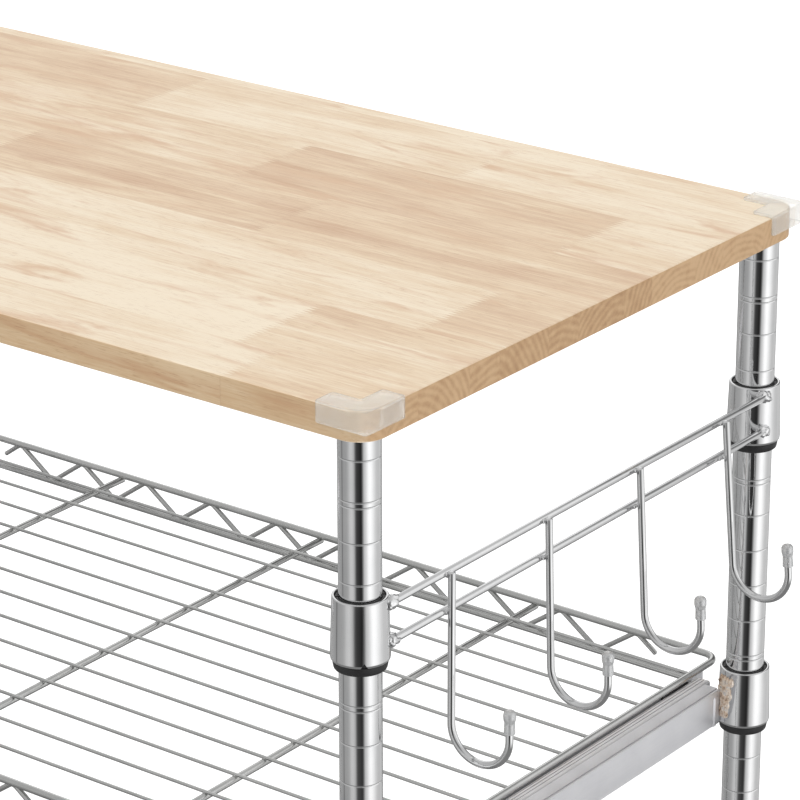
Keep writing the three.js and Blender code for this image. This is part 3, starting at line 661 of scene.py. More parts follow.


# Each finish is a material and the name of a slot
ALONG_Y = (1, 0.05, 1)
CHROME = metal("chrome", (0.78, 0.785, 0.79), (0.86, 0.86, 0.862), 0.035, 0.075, (1, 1, 0.1)), "chrome"
WIRE = metal("shelf_wire", (0.58, 0.585, 0.575), (0.70, 0.70, 0.69), 0.16, 0.26), "shelf_wire"
SATIN = metal("satin_steel", (0.72, 0.72, 0.745), (0.78, 0.78, 0.80), 0.36, 0.44, ALONG_Y,
              0.012 * MM, 0.65), "satin_steel"
SLIDE = metal("slide_steel", (0.74, 0.74, 0.76), (0.80, 0.80, 0.815), 0.32, 0.38, ALONG_Y,
              0.008 * MM, 0.5), "slide_steel"
ZINC = metal("zinc_steel", (0.60, 0.605, 0.61), (0.72, 0.72, 0.72), 0.24, 0.36, (1, 1, 1),
             0.01 * MM, 0.65), "zinc_steel"
WOOD = rubberwood(), "rubberwood"
CLEAR = frosted("frosted_guard", (1.0, 0.985, 0.93), 0.7, 0.14, alpha=0.6), "clear_plastic"
# The tips' vinyl is thin and shows the polished wire inside
TIP = frosted("frosted_tip", (0.78, 0.785, 0.79), 0.5, 0.14, metallic=0.35), "clear_plastic"
BLACK = moulded("black_plastic", (0.012, 0.012, 0.013), (0.022, 0.022, 0.023), 0.45, 0.5 * MM,
                0.01 * MM), "black_plastic"
RUBBER = moulded("tyre_rubber", (0.045, 0.045, 0.047), (0.075, 0.075, 0.078), 0.62, 0.8 * MM,
                 0.03 * MM), "tyre_rubber"
WELD = heat_tint_and_painted_shade(), "satin_steel"


# ---- Wood top and guards ----

def slab_ring(half_x, half_y, radius, inset, z, steps=10):
    """A rounded rectangle, drawn in by an inset, at one height."""
    reach_x, reach_y = half_x - inset, half_y - inset
    corners = [(-reach_x, -reach_y), (reach_x, -reach_y), (reach_x, reach_y), (-reach_x, reach_y)]
    flat = rounded(corners, radius - inset, steps)
    return [Vector((point.x, point.y, z)) for point in flat]


def slab(half_x, half_y, radius, z0, z1, edge, steps=4):
    """A board with rounded corners and eased edges, round its own middle."""
    rings = []
    for z, way in ((z0, 1), (z1, -1)):
        arcs = []
        for k in range(steps + 1):
            angle = math.pi / 2 * k / steps
            inset = edge * (1 - math.cos(angle))
            arcs.append(slab_ring(half_x, half_y, radius, inset, z + way * edge * (1 - math.sin(angle))))
        rings += arcs[::-1] if way > 0 else arcs
    return skin(rings)


def wood_slab(gap=0.0):
    """The whole top, grown by a gap."""
    reach = WOOD_HALF + Vector((gap, gap, gap))
    board = slab(reach.x, reach.y, TOP_CORNER_RADIUS + gap, -reach.z, reach.z, TOP_EDGE_RADIUS)
    return board.moved(Matrix.Translation(WOOD_MIDDLE))


def wood_top():
    top = piece("wood_top_boards", wood_slab(), WOOD, ["wood_top"], sharp=60)
    top.modifiers.new("flat faces", "WEIGHTED_NORMAL").keep_sharp = True
    top.visible_glossy = False  # the studio is lit so that its steel parts don't mirror the wood


def corner_guard(corner):
    """A soft L-shaped cap over one corner, hollow where the wood is."""
    node = "corner_guard_" + corner
    box_low, box_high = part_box(node)
    sign_x, sign_y = signs(corner)
    arm, width = GUARD_ARM, GUARD_WIDTH
    corners = [(0, 0), (-arm, 0), (-arm, -width), (-width, -width), (-width, -arm), (0, -arm)]
    easing = mm(2.2, 2.2, 2.5, 2, 2.5, 2.2)
    foot = box_low.z + GUARD_FOOT_LIFT
    shell = eased(along_z(outline(corners, easing, 5), foot, box_high.z), 0.7 * MM)
    tip = Vector((box_high.x if sign_x > 0 else box_low.x, box_high.y if sign_y > 0 else box_low.y, 0))
    shell = shell.moved(Matrix.Translation(tip) @ Matrix.Diagonal((sign_x, sign_y, 1, 1)))
    shell = carved(shell, wood_slab(0.15 * MM))
    piece("guard_" + corner, shell, CLEAR, [node], sharp=50)


# ---- Posts, collars and sleeves ----

def post_profile(bottom, top):
    """The outside of a post with its grooves, then back down the inside."""
    ease = 0.4 * MM
    radius, inner = POST_RADIUS, POST_RADIUS - POST_WALL
    grooves = []
    for k in range(int((top - bottom) / GROOVE_PITCH)):
        z = top - FIRST_GROOVE_DROP - k * GROOVE_PITCH
        grooves.append(z)
        if k % DOUBLE_GROOVE_EVERY == 1:
            grooves.append(z - DOUBLE_GROOVE_DROP)
    half = GROOVE_WIDTH / 2
    profile = [(inner, bottom), (radius - ease, bottom), (radius, bottom + ease),
               (radius, bottom + 2 * ease)]
    for z in sorted(grooves):
        if z - GROOVE_WIDTH < bottom + 2 * ease:
            continue
        for share, depth in GROOVE_SHAPE:
            profile.append((radius - depth * GROOVE_DEPTH, z + share * half))
    return profile + [(radius, top - 2 * ease), (radius, top - ease), (radius - ease, top), (inner, top)]


def collar():
    """A tapered ring round Z with its top at 0, rolled in at the bottom, with a V notch at +X."""
    radius, wall, height = COLLAR_BOTTOM_RADIUS, COLLAR_WALL, COLLAR_HEIGHT
    profile = outline([
        (radius - wall, -height), (radius - 0.35 * MM, -height), (radius, -height + 1.7 * MM),
        (COLLAR_TOP_RADIUS, 0), (COLLAR_TOP_RADIUS - wall + 0.6 * MM, 0)],
        mm(0.5, 0.7, 2, 0.7, 0.4), 3)
    ring = revolve(profile, 72)
    notch = outline([
        (-NOTCH_WIDTH / 2, -height - 1 * MM), (NOTCH_WIDTH / 2, -height - 1 * MM),
        (NOTCH_WIDTH / 2, -height), (0, -height + NOTCH_HEIGHT), (-NOTCH_WIDTH / 2, -height)])
    wedge = along_y(notch, -radius - 5 * MM, -radius + 3 * MM)
    return carved(ring, wedge.moved(Matrix.Rotation(math.pi / 2, 4, "Z")))


def sleeve():
    """The two halves of the tapered plastic sleeve inside a collar whose top is at 0."""
    inner = POST_RADIUS + 0.1 * MM
    lip = -COLLAR_HEIGHT - 0.2 * MM
    slack = COLLAR_WALL + 0.2 * MM
    profile = outline([
        (inner, lip - SLEEVE_LIP_HEIGHT), (SLEEVE_LIP_RADIUS - 1 * MM, lip - SLEEVE_LIP_HEIGHT),
        (SLEEVE_LIP_RADIUS, lip), (COLLAR_BOTTOM_RADIUS - slack, lip),
        (COLLAR_TOP_RADIUS - slack + 0.5 * MM, -SLEEVE_TOP_DROP), (inner, -SLEEVE_TOP_DROP)],
        mm(0.2, 0.9, 0.8, 0.1, 0.3, 0.2), 3)
    halves = Solid()
    for start in (math.pi / 2, 1.5 * math.pi):
        halves.add(revolve(profile, 36, start + SLEEVE_SPLIT, math.pi - 2 * SLEEVE_SPLIT))
    return halves


COLLAR = collar()
SLEEVE = sleeve()


def signs(corner):
    """Which way a corner lies from the cart's middle, in X and in Y."""
    place = POSTS[corner]
    return math.copysign(1, place.x - MIDDLE_X), math.copysign(1, place.y)


def on_post(corner, z):
    """Takes a shape drawn round Z to a height on a post, with its +X side facing outwards."""
    sign_x, sign_y = signs(corner)
    return placed(spot_on_post(corner, z), math.atan2(sign_y, sign_x), "Z")


def sleeve_on_post(corner, z):
    """A sleeve at a height. The splits of all of them face the back right and the front left."""
    return SLEEVE.moved(placed(spot_on_post(corner, z), -math.pi / 4, "Z"))


def posts():
    for corner in CORNERS:
        node = "post_" + corner
        profile = post_profile(low(node).z, high(node).z)
        tube_wall = revolve(profile, 72).moved(on_post(corner, 0))
        piece("grooved_" + node, tube_wall, CHROME, [node], sharp=75)
        for kind, top in (("bracket_sleeve_", BRACKET_COLLAR_TOP), ("bottom_sleeve_", SHELF_COLLAR_TOP)):
            piece("split_" + kind + corner, sleeve_on_post(corner, top), BLACK, [kind + corner])
    for end in ("front", "back"):
        corner, node = end + "_right", "rail_sleeve_" + end
        ring = COLLAR.moved(on_post(corner, RAIL_COLLAR_TOP))
        piece("collar_of_rail_" + end, ring, CHROME, ["rail_collar_" + end], sharp=50)
        piece("split_" + node, sleeve_on_post(corner, RAIL_COLLAR_TOP), BLACK, [node])


# ---- Hook rail ----

def hook_rail():
    beads = Solid()
    weld_reach = 1.6 * MM  # the rods run this far into the weld metal at the collars
    for number, name in enumerate(("rail_upper_rod", "rail_lower_rod")):
        start, end = low(name), high(name)
        axis = middle(name)
        run = [(axis.x, start.y - weld_reach, axis.z), (axis.x, end.y + weld_reach, axis.z)]
        piece(name + "_bar", tube(run, ROD_RADIUS, 20), CHROME, [name])
        for y, inward in ((start.y, 1), (end.y, -1)):
            seed = number * 7 + inward
            place = (axis.x - 0.6 * MM, y - inward * 1.2 * MM, axis.z)
            beads.add(bead(place, mm(3.7, 5.2, 4.0), seed, 0.5))
            place = (axis.x - 0.9 * MM, y - inward * 4 * MM, axis.z - 0.6 * MM)
            beads.add(bead(place, mm(3.3, 3.4, 4.2), seed + 3, 0.5))
    count = sum(1 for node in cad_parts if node.startswith("rail_hook_"))
    for i in range(count):
        hook_on_rail(i, beads)
    piece("rail_weld_beads", beads, CHROME, sharp=80)


def hook_on_rail(i, beads):
    """Hook i with its soft tip. It is drawn with its top at 0 and then leans out."""
    node = f"rail_hook_{i + 1}"
    upright = "rail_hook_1"
    x = low(upright).x + ROD_RADIUS
    top = high(upright).z
    drop = top - low(upright).z
    bend_z = -(drop - ROD_RADIUS - HOOK_BEND_RADIUS)
    bend = 2 * HOOK_BEND_RADIUS
    tip_z = HOOK_TIP_RISE - drop
    path = rounded(
        [(0, 0, -ROD_RADIUS / 2), (0, 0, bend_z - HOOK_BEND_RADIUS),
         (bend, 0, bend_z - HOOK_BEND_RADIUS), (bend, 0, tip_z - 1 * MM)],
        HOOK_BEND_RADIUS * 0.999, 16, loop=False)
    place = placed((x, middle(node).y, top), -i * HOOK_LEAN_STEP, "Y")
    piece(node + "_wire", tube(path, ROD_RADIUS, 20).moved(place), CHROME, [node])
    tip_node = f"hook_tip_{i + 1}"
    cap = tip_cap().moved(place @ Matrix.Translation((bend, 0, tip_z + 1.5 * MM)))
    piece(tip_node + "_cap", cap, TIP, [tip_node])
    for name in ("rail_upper_rod", "rail_lower_rod"):
        rod = middle(name)
        for side in (-1, 1):
            spot = (rod.x + ROD_RADIUS + 0.1 * MM, middle(node).y + side * 1.5 * MM, rod.z)
            beads.add(bead(spot, mm(1.1, 1.9, 1.5), i * 5 + side, 0.35))


def tip_cap():
    """A vinyl cap with a bulb on a neck, open at the bottom, with its top at 0."""
    bulb, neck, mouth, length, wall = 3.85 * MM, 3.2 * MM, 3.45 * MM, 15 * MM, 0.75 * MM
    bore = ROD_RADIUS + 0.05 * MM
    profile = outline([
        (0, -wall - 0.6 * MM), (bore, -wall - 0.6 * MM), (bore, -length), (mouth, -length),
        (neck, -8 * MM), (bulb, -5.2 * MM), (bulb, 0), (0, 0)],
        mm(0, 0.5, 0.2, 0.3, 2, 1.2, 3, 0), 6)
    return revolve(profile, 28)


# ---- Side brackets and slides ----

def side_brackets():
    for side, out in SIDES.items():
        node = "slide_bracket_" + side
        top = BRACKET_COLLAR_TOP - BRACKET_TOP_DROP
        z0, z1 = top - BRACKET_HEIGHT, top
        post_x = POSTS["front_" + side].x
        outer = post_x - out * BRACKET_INSET
        x0, x1 = sorted((outer, outer - out * BRACKET_WIDTH))
        tube_end = HALF_Y - BRACKET_TUBE_END
        wall = BRACKET_WALL
        inside, outside = 0.6 * MM, 1.8 * MM
        bends = [inside, outside, outside, inside] if out > 0 else [outside, inside, inside, outside]
        hull = along_y(outline(box_section(x0, x1, z0, z1), bends, 5), -tube_end, tube_end)
        room = outline(box_section(x0 + wall, x1 - wall, z0 + wall, z1 - wall), 0.7 * MM, 4)
        hull = carved(hull, along_y(room, -HALF_Y, HALF_Y))
        crease_insets = (BRACKET_CREASE_INSET, BRACKET_CREASE_INSET + BRACKET_CREASE_WIDTH)
        crease = sorted(outer - out * inset for inset in crease_insets)
        crease = box_section(*crease, z1 - BRACKET_CREASE_DEPTH, z1 + 1 * MM)
        hull = carved(hull, along_y(crease, -HALF_Y, HALF_Y))
        reach = HALF_Y - BRACKET_TAB_END
        t0, t1 = sorted((outer - out * 0.02 * MM, outer - out * wall))
        web = outline([(-reach, z0), (reach, z0), (reach, z1), (-reach, z1)], 4 * MM, 6)
        tab = along_x(web, t0, t1)
        piece("bracket_tube_" + side, hull, SATIN, [node], sharp=40)
        piece("bracket_web_" + side, tab, SATIN, bevel=0.25 * MM)
        ridges = Solid()
        for y in (-HALF_Y + BRACKET_RIDGE_END, HALF_Y - BRACKET_RIDGE_END):
            x = outer - out * (BRACKET_RIDGE_RADIUS - BRACKET_RIDGE_HEIGHT)
            run = [(x, y, z0 + 0.4 * MM), (x, y, z1 - BRACKET_RIDGE_DROP)]
            ridges.add(tube(run, BRACKET_RIDGE_RADIUS, 28))
        piece("bracket_ridges_" + side, ridges, SATIN, sharp=60)
        for end in ("front", "back"):
            corner = f"{end}_{side}"
            ring = COLLAR.moved(on_post(corner, BRACKET_COLLAR_TOP))
            piece("bracket_collar_" + corner, ring, CHROME, sharp=50)
            bracket_weld(corner, z0, z1)


def bracket_weld(corner, z0, z1):
    """The weld between a bracket and a collar: overlapping lumps spread over the collar's face."""
    place = POSTS[corner]
    out, back = signs(corner)
    inward = -back
    radius = (COLLAR_TOP_RADIUS + COLLAR_BOTTOM_RADIUS) / 2
    weld = Solid()
    bottom, height = z0 + 6.5 * MM, z1 - z0 + 2 * MM
    first_angle, row_step, spread, sway = -30, 5, 0.25, 3  # degrees round the collar
    levels, rows = 8, 5
    for k in range(levels):
        z = bottom + height * (k + 0.5) / levels
        for row in range(rows):
            # From where the web meets the collar, round towards the outside
            wander = sway * math.sin(2.3 * k + row)
            angle = math.radians(first_angle + (row_step + spread * k) * row + wander)
            x = place.x + out * radius * math.sin(angle)
            y = place.y + inward * (radius - 0.2 * MM) * math.cos(angle)
            size = (1.9 + 0.6 * math.sin(1.7 * k + 2 * row)) * MM
            seed = k + 3 * row + place.y * 9
            weld.add(bead((x, y, z), (size, 1.8 * MM, 3.6 * MM), seed, 0.4, 2))
    piece("bracket_weld_" + corner, weld, WELD, sharp=80)


def slide_section(node, side, opens_out):
    """A rolled channel in a slide member's box, open towards one side, with curled lips."""
    box_low, box_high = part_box(node)
    sheet = SLIDE_SHEET
    height, depth = box_high.z - box_low.z, box_high.x - box_low.x
    curl = 0.9 * MM
    corners = [(depth, curl), (depth, 0), (0, 0), (0, height), (depth, height), (depth, height - curl)]
    section = bent_sheet(corners[::-1], sheet, 0.35 * MM)
    back_on_left = (side == "right") == opens_out
    if not back_on_left:
        section = [(depth - u, v) for u, v in section]
    return [(box_low.x + u, box_low.z + v) for u, v in section]


def scored(channel, node, side):
    """The slide's outer channel with the long lines of its rolled lip along the top."""
    box_low, box_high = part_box(node)
    lip = box_low.x if side == "right" else box_high.x
    for inset in SLIDE_LINES:
        edges = sorted((lip + SIDES[side] * inset, lip + SIDES[side] * (inset + SLIDE_LINE_WIDTH)))
        line = box_section(*edges, box_high.z - 0.7 * MM, box_high.z + 1 * MM)
        channel = carved(channel, along_y(line, box_low.y - 1 * MM, box_high.y + 1 * MM))
    return channel


def slides():
    bodies = {
        "slide_outer_": "frame",
        "slide_middle_": "slide_middle_{}_member",
        "slide_inner_": "pullout",
    }
    for side in SIDES:
        for kind, body in bodies.items():
            node = kind + side
            section = slide_section(node, side, kind == "slide_inner_")
            channel = along_y(section, low(node).y, high(node).y)
            if kind == "slide_outer_":
                channel = scored(channel, node, side)
            piece("rolled_" + node, channel, SLIDE, [node], body.format(side), sharp=40)


# ---- Wire shelves ----

def zigzag(start, end, top, drop, peaks):
    """The wire that zigzags between a top and a bottom wire, with free ends halfway down."""
    start, end = Vector(start), Vector(end)
    quarter_waves = 4 * peaks - 2
    corners = []
    for quarter in (0, *range(1, quarter_waves, 2), quarter_waves):
        point = start.lerp(end, quarter / quarter_waves)
        if quarter in (0, quarter_waves):
            point.z = top - drop / 2
        else:
            point.z = top if quarter % 4 == 1 else top - drop
        corners.append(point)
    return tube(rounded(corners, ZIGZAG_BEND, 6, loop=False), ZIGZAG_RADIUS, 12)


def across(reach, y, z, middle_x=MIDDLE_X):
    """The two ends of a wire along X."""
    return [(middle_x - reach, y, z), (middle_x + reach, y, z)]


def deck(half_x, y0, y1, z, seed):
    """Thin deck wires along X on stouter cross wires, with a weld spot at each crossing."""
    wires = Solid()
    cross_z = z - DECK_WIRE_RADIUS - CROSS_WIRE_RADIUS + 0.4 * MM
    cross_places = [MIDDLE_X + k * CROSS_WIRE_PITCH for k in (-1, 0, 1)]
    for x in cross_places:
        wires.add(tube([(x, y0, cross_z), (x, y1, cross_z)], CROSS_WIRE_RADIUS, 16))
    spots = [*cross_places, MIDDLE_X - half_x + 2 * MM, MIDDLE_X + half_x - 2 * MM]
    for i in range(DECK_WIRE_COUNT):
        y = (y0 + y1) / 2 + (i - (DECK_WIRE_COUNT - 1) / 2) * DECK_WIRE_PITCH
        wires.add(tube(across(half_x, y, z), DECK_WIRE_RADIUS, 12))
        for k, x in enumerate(spots):
            spot = bead((x, y, z - 0.8 * MM), mm(1.9, 1.7, 1.1), seed + i * 5 + k, 0.3, 2)
            wires.add(spot)
    return wires


def pullout_shelf():
    node = "pullout_shelf"
    radius = SHELF_RIM_RADIUS
    z = high(node).z - radius
    half_x = (high(node).x - low(node).x) / 2 - radius
    y0, y1 = low(node).y + radius, high(node).y - radius
    corners = [(MIDDLE_X + sx * half_x, y, z) for sx, y in ((-1, y0), (1, y0), (1, y1), (-1, y1))]
    wires = tube(rounded(corners, SHELF_CORNER_RADIUS, 10), radius, 16, loop=True)
    plate_x = HALF_X - SHELF_PLATE_INSET
    low_z = z - SHELF_TRUSS_DROP
    for y in (y0, y1):
        wires.add(tube(across(plate_x - SHELF_PLATE_SHEET / 2, y, low_z), radius, 16))
        ends = across(plate_x - ZIGZAG_END_GAP, y, z, MIDDLE_X - SHELF_ZIGZAG_LEFT)
        wires.add(zigzag(*ends, z, SHELF_TRUSS_DROP, ZIGZAG_PEAKS_X))
    wires.add(deck(half_x, y0, y1, z, 1))
    piece("pullout_wires", wires, WIRE, [node], "pullout", sharp=60)
    top = z - SHELF_PLATE_DROP
    for side, sign in SIDES.items():
        x = MIDDLE_X + sign * plate_x
        x0, x1 = sorted((x, x - sign * SHELF_PLATE_SHEET))
        flat = outline([(y0 - 1 * MM, top - SHELF_PLATE_HEIGHT), (y1 + 1 * MM, top - SHELF_PLATE_HEIGHT),
                        (y1 + 1 * MM, top), (y0 - 1 * MM, top)], 3 * MM, 5)
        piece("pullout_side_plate_" + side, along_x(flat, x0, x1), SATIN, body="pullout", bevel=0.25 * MM)
        slide_clip(side, x, y1)


def slide_clip(side, plate_x, back):
    """The black plastic clip at the back of the slide's inner member, beside the shelf's plate."""
    inner = "slide_inner_" + side
    out = SIDES[side]
    x0, x1 = sorted((plate_x + out * 0.1 * MM, plate_x + out * 2.6 * MM))
    z0, z1 = high(inner).z + 0.1 * MM, high(inner).z + 8.8 * MM
    block = outline([(back - 49 * MM, z0), (back - 22 * MM, z0), (back - 19 * MM, z0 + 4 * MM),
                     (back - 24 * MM, z1), (back - 44 * MM, z1 - 1 * MM), (back - 51 * MM, z1 - 3 * MM)],
                    1.2 * MM, 4)
    piece("slide_clip_" + side, along_x(block, x0, x1), BLACK, body="pullout", bevel=0.3 * MM)


def bottom_shelf():
    node = "bottom_shelf"
    z = SHELF_COLLAR_TOP - BOTTOM_RIM_DROP
    low_z = z - BOTTOM_TRUSS_DROP
    end_x, end_y = HALF_X - BOTTOM_RIM_END, HALF_Y - BOTTOM_RIM_END
    wires = deck(HALF_X, -HALF_Y, HALF_Y, z, 90)
    for sign in (-1, 1):
        x, y = MIDDLE_X + sign * HALF_X, sign * HALF_Y
        for level in (z, low_z):
            wires.add(tube(across(end_x, y, level), BOTTOM_RIM_RADIUS, 16))
            wires.add(tube([(x, -end_y, level), (x, end_y, level)], BOTTOM_RIM_RADIUS, 16))
        zig_x, zig_y = end_x - ZIGZAG_END_GAP, end_y - ZIGZAG_END_GAP
        wires.add(zigzag(*across(zig_x, y, z), z, BOTTOM_TRUSS_DROP, ZIGZAG_PEAKS_X))
        wires.add(zigzag((x, -zig_y, z), (x, zig_y, z), z, BOTTOM_TRUSS_DROP, ZIGZAG_PEAKS_Y))
    piece("bottom_wires", wires, WIRE, [node], sharp=60)
    for number, corner in enumerate(CORNERS):
        ring = COLLAR.moved(on_post(corner, SHELF_COLLAR_TOP))
        piece("bottom_collar_" + corner, ring, CHROME, sharp=50)
        beads = Solid()
        sign_x, sign_y = signs(corner)
        for level in (z, low_z):
            for along in (Vector((-sign_x, 0)), Vector((0, -sign_y))):
                spot = POSTS[corner].xy + along * (COLLAR_BOTTOM_RADIUS + 0.4 * MM)
                size = mm(3.4, 3.4, 3.6)
                beads.add(bead((spot.x, spot.y, level), size, number * 4 + along.x, 0.35))
        piece("bottom_weld_" + corner, beads, CHROME, sharp=80)


# ---- Casters, drawn round the swivel axis with the wheel trailing towards -X ----

def on_wheel(corner):
    """Takes a shape turned about Z to the wheel's axle, which runs along Y."""
    return placed(middle("caster_wheel_" + corner), math.pi / 2, "X")


def caster_stem(corner):
    node = "caster_stem_" + corner
    bottom, top = low(node).z, high(node).z
    plug = POST_RADIUS - POST_WALL - 0.2 * MM
    flange = low("post_" + corner).z - 0.3 * MM
    reach = (high(node).x - low(node).x) / 2
    profile = outline([
        (0, bottom), (reach, bottom), (reach - 1 * MM, bottom + 4 * MM), (reach - 6 * MM, bottom + 7 * MM),
        (8 * MM, bottom + 7.4 * MM), (8 * MM, flange - 3 * MM), (POST_RADIUS, flange - 3 * MM),
        (POST_RADIUS, flange), (plug, flange), (plug, flange + 8 * MM), (plug - 0.5 * MM, flange + 9 * MM),
        (plug - 0.5 * MM, flange + 14 * MM), (plug, flange + 15 * MM), (plug, top), (0, top)],
        mm(0, 0.8, 2, 2, 1, 0.8, 0.5, 0.5, 0.2, 0, 0, 0, 0, 1, 0), 4)
    stem = revolve(profile, 48).moved(Matrix.Translation(spot_on_post(corner)))
    piece("swivel_" + node, stem, ZINC, [node], sharp=50)


def caster_fork(corner):
    """An inverted channel of sheet steel under a round bearing plate."""
    node = "caster_fork_" + corner
    box_low, box_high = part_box(node)
    place = POSTS[corner]
    axle = middle("caster_wheel_" + corner) - place
    axle_z = middle("caster_wheel_" + corner).z
    half = (box_high.y - box_low.y) / 2
    half_legs = 16.2 * MM
    sheet = 2.2 * MM
    top = box_high.z
    back = box_low.x - place.x
    arch = bent_sheet([(half_legs, axle_z - 12 * MM), (half_legs, top), (-half_legs, top),
                       (-half_legs, axle_z - 12 * MM)], sheet, 1.6 * MM, 5)
    hull = along_x(arch, back - 1 * MM, 18 * MM)
    # The side view that the channel is trimmed to
    side_view = outline([
        (17 * MM, top + 1 * MM), (-36 * MM, top + 1 * MM), (-36 * MM, top - 3 * MM), (back, top - 5 * MM),
        (back, top - 17 * MM), (axle.x - 10 * MM, axle_z - 2 * MM), (axle.x - 6 * MM, axle_z - 9 * MM),
        (axle.x + 6 * MM, axle_z - 9 * MM), (axle.x + 11 * MM, axle_z + 4 * MM), (17 * MM, top - 14 * MM)],
        mm(0, 0, 2, 3, 4, 5, 5, 5, 4, 5), 5)
    reach = 40 * MM
    around = [mm(-120, -30), mm(60, -30), (60 * MM, top + 40 * MM), (-120 * MM, top + 40 * MM)]
    waste = carved(along_y(around, -reach, reach), along_y(side_view, -reach - MM, reach + MM))
    hull = carved(hull, waste)
    bore = revolve([(0, -reach), (4.2 * MM, -reach), (4.2 * MM, reach), (0, reach)], 24)
    hull = carved(hull, bore.moved(placed((axle.x, 0, axle_z), math.pi / 2, "X")))
    plate = revolve(outline([
        (0, top - 3 * MM), (half, top - 3 * MM), (half, top - 0.05 * MM), (0, top - 0.05 * MM)],
        mm(0, 1, 1, 0), 4), 56)
    body = "caster_" + corner
    there = Matrix.Translation(spot_on_post(corner))
    piece("legs_of_" + node, hull.moved(there), ZINC, [node], body, bevel=0.3 * MM)
    piece("plate_of_" + node, plate.moved(there), ZINC, body=body, sharp=50)


def caster_wheel(corner):
    """A tyre on a ribbed hub, both turned about the axle."""
    node = "caster_wheel_" + corner
    radius = middle(node).z - low(node).z - 0.02 * MM
    half = (high(node).y - low(node).y) / 2
    rim = radius - 8 * MM
    tyre = revolve(outline([
        (rim, -half + 2 * MM), (rim + 3 * MM, -half + 1 * MM), (radius - 2 * MM, -half + 1.5 * MM),
        (radius, -half + 5 * MM), (radius, half - 5 * MM), (radius - 2 * MM, half - 1.5 * MM),
        (rim + 3 * MM, half - 1 * MM), (rim, half - 2 * MM)],
        mm(0.5, 1, 2, 2.5, 2.5, 2, 1, 0.5), 4), 96)
    body = "wheel_" + corner
    there = on_wheel(corner)
    piece("tyre_" + corner, tyre.moved(there), RUBBER, [node], body, sharp=50)
    boss, bore = 10 * MM, 4.3 * MM
    inner_rim = rim - 3.5 * MM
    hub = revolve(outline([
        (bore, -half), (boss, -half), (boss, -3 * MM), (inner_rim, -3 * MM), (inner_rim, -half + 1 * MM),
        (rim - 0.1 * MM, -half + 1 * MM), (rim - 0.1 * MM, half - 1 * MM), (inner_rim, half - 1 * MM),
        (inner_rim, 3 * MM), (boss, 3 * MM), (boss, half), (bore, half)],
        mm(0.5, 0.8, 1, 1, 0.6, 0.5, 0.5, 0.6, 1, 1, 0.8, 0.5), 3), 72)
    rib_count = 8
    for k in range(rib_count):
        rib = along_z(outline([(boss - 1 * MM, -0.8 * MM), (inner_rim + 1 * MM, -0.8 * MM),
                               (inner_rim + 1 * MM, 0.8 * MM), (boss - 1 * MM, 0.8 * MM)]),
                      -half + 2.5 * MM, half - 2.5 * MM)
        hub.add(rib, Matrix.Rotation(TURN * k / rib_count, 4, "Z"))
    piece("hub_" + corner, hub.moved(there), BLACK, body=body, sharp=50)


def hexagon(across_flats):
    reach = across_flats / math.sqrt(3)
    return [(reach * math.cos(TURN * k / 6), reach * math.sin(TURN * k / 6)) for k in range(6)]


def caster_axle(corner):
    """A bolt with a hexagon head at one end and a nut at the other."""
    node = "caster_axle_" + corner
    half = (high(node).y - low(node).y) / 2
    reach = half - 3 * MM
    shank = revolve(outline([(0, -half), (3.9 * MM, -half), (3.9 * MM, half), (0, half)],
                            mm(0, 0.6, 0.6, 0), 3), 28)
    bolt = Solid().add(shank)
    for end in (-1, 1):
        washer = revolve([mm(3.9, 0), mm(6.4, 0), mm(6.4, 0.7), mm(3.9, 0.7)], 40)
        place = placed((0, 0, end * (reach - 0.25 * MM)), 0 if end > 0 else math.pi, "X")
        bolt.add(washer, place)
        bolt.add(along_z(hexagon(11 * MM), 0.7 * MM, 3.1 * MM), place)
    bolt = bolt.moved(on_wheel(corner))
    piece("bolt_" + node, bolt, ZINC, [node], "caster_" + corner, bevel=0.25 * MM)


def brake_pedal(corner):
    """A bent pedal with grip ridges, on a pin through the fork's legs."""
    node = "brake_pedal_" + corner
    box_low, box_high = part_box(node)
    px, pz = box_low.x + 42 * MM, box_high.z - 4 * MM
    half = 11 * MM
    y = middle(node).y
    side_view = outline([
        (px + 5 * MM, pz + 4 * MM), (px - 6 * MM, pz + 4 * MM), (px - 24 * MM, pz - 3 * MM),
        (px - 42 * MM, pz - 7 * MM), (px - 42 * MM, pz - 10 * MM), (px - 24 * MM, pz - 6.5 * MM),
        (px - 6 * MM, pz - 1 * MM), (px, pz - 4.5 * MM), (px + 5 * MM, pz - 3 * MM)],
        mm(2, 6, 12, 1.2, 1.2, 12, 2, 2, 2), 5)
    pedal = along_y(side_view, y - half, y + half)
    ridge_count = 5
    for k in range(ridge_count):
        x = px - (26 + 3.4 * k) * MM
        z = pz - (3.3 + 0.755 * k) * MM
        ridge = tube([(x, y - half + 2.5 * MM, z), (x, y + half - 2.5 * MM, z)], 0.8 * MM, 10)
        pedal.add(ridge)
    reach = (box_high.y - box_low.y) / 2
    body = "pedal_" + corner
    piece("ridged_" + node, pedal, BLACK, [node], body, bevel=0.5 * MM, sharp=45)
    pin = tube([(px, y - reach + 0.4 * MM, pz), (px, y + reach - 0.4 * MM, pz)], 2.5 * MM, 20)
    piece("pin_of_" + node, pin, ZINC, body=body)


# ---- Studio ----

CAMERA_FROM_POST = Vector((1.217155, -1.571886, 1.696512))  # from the front right post, at the floor
CAMERA_YAW = math.radians(37.0934)  # turned from +Y towards -X
CAMERA_TILT = math.radians(21.4925)  # downwards
CAMERA_ROLL = math.radians(-0.0704)
CAMERA_LENS = 172.22

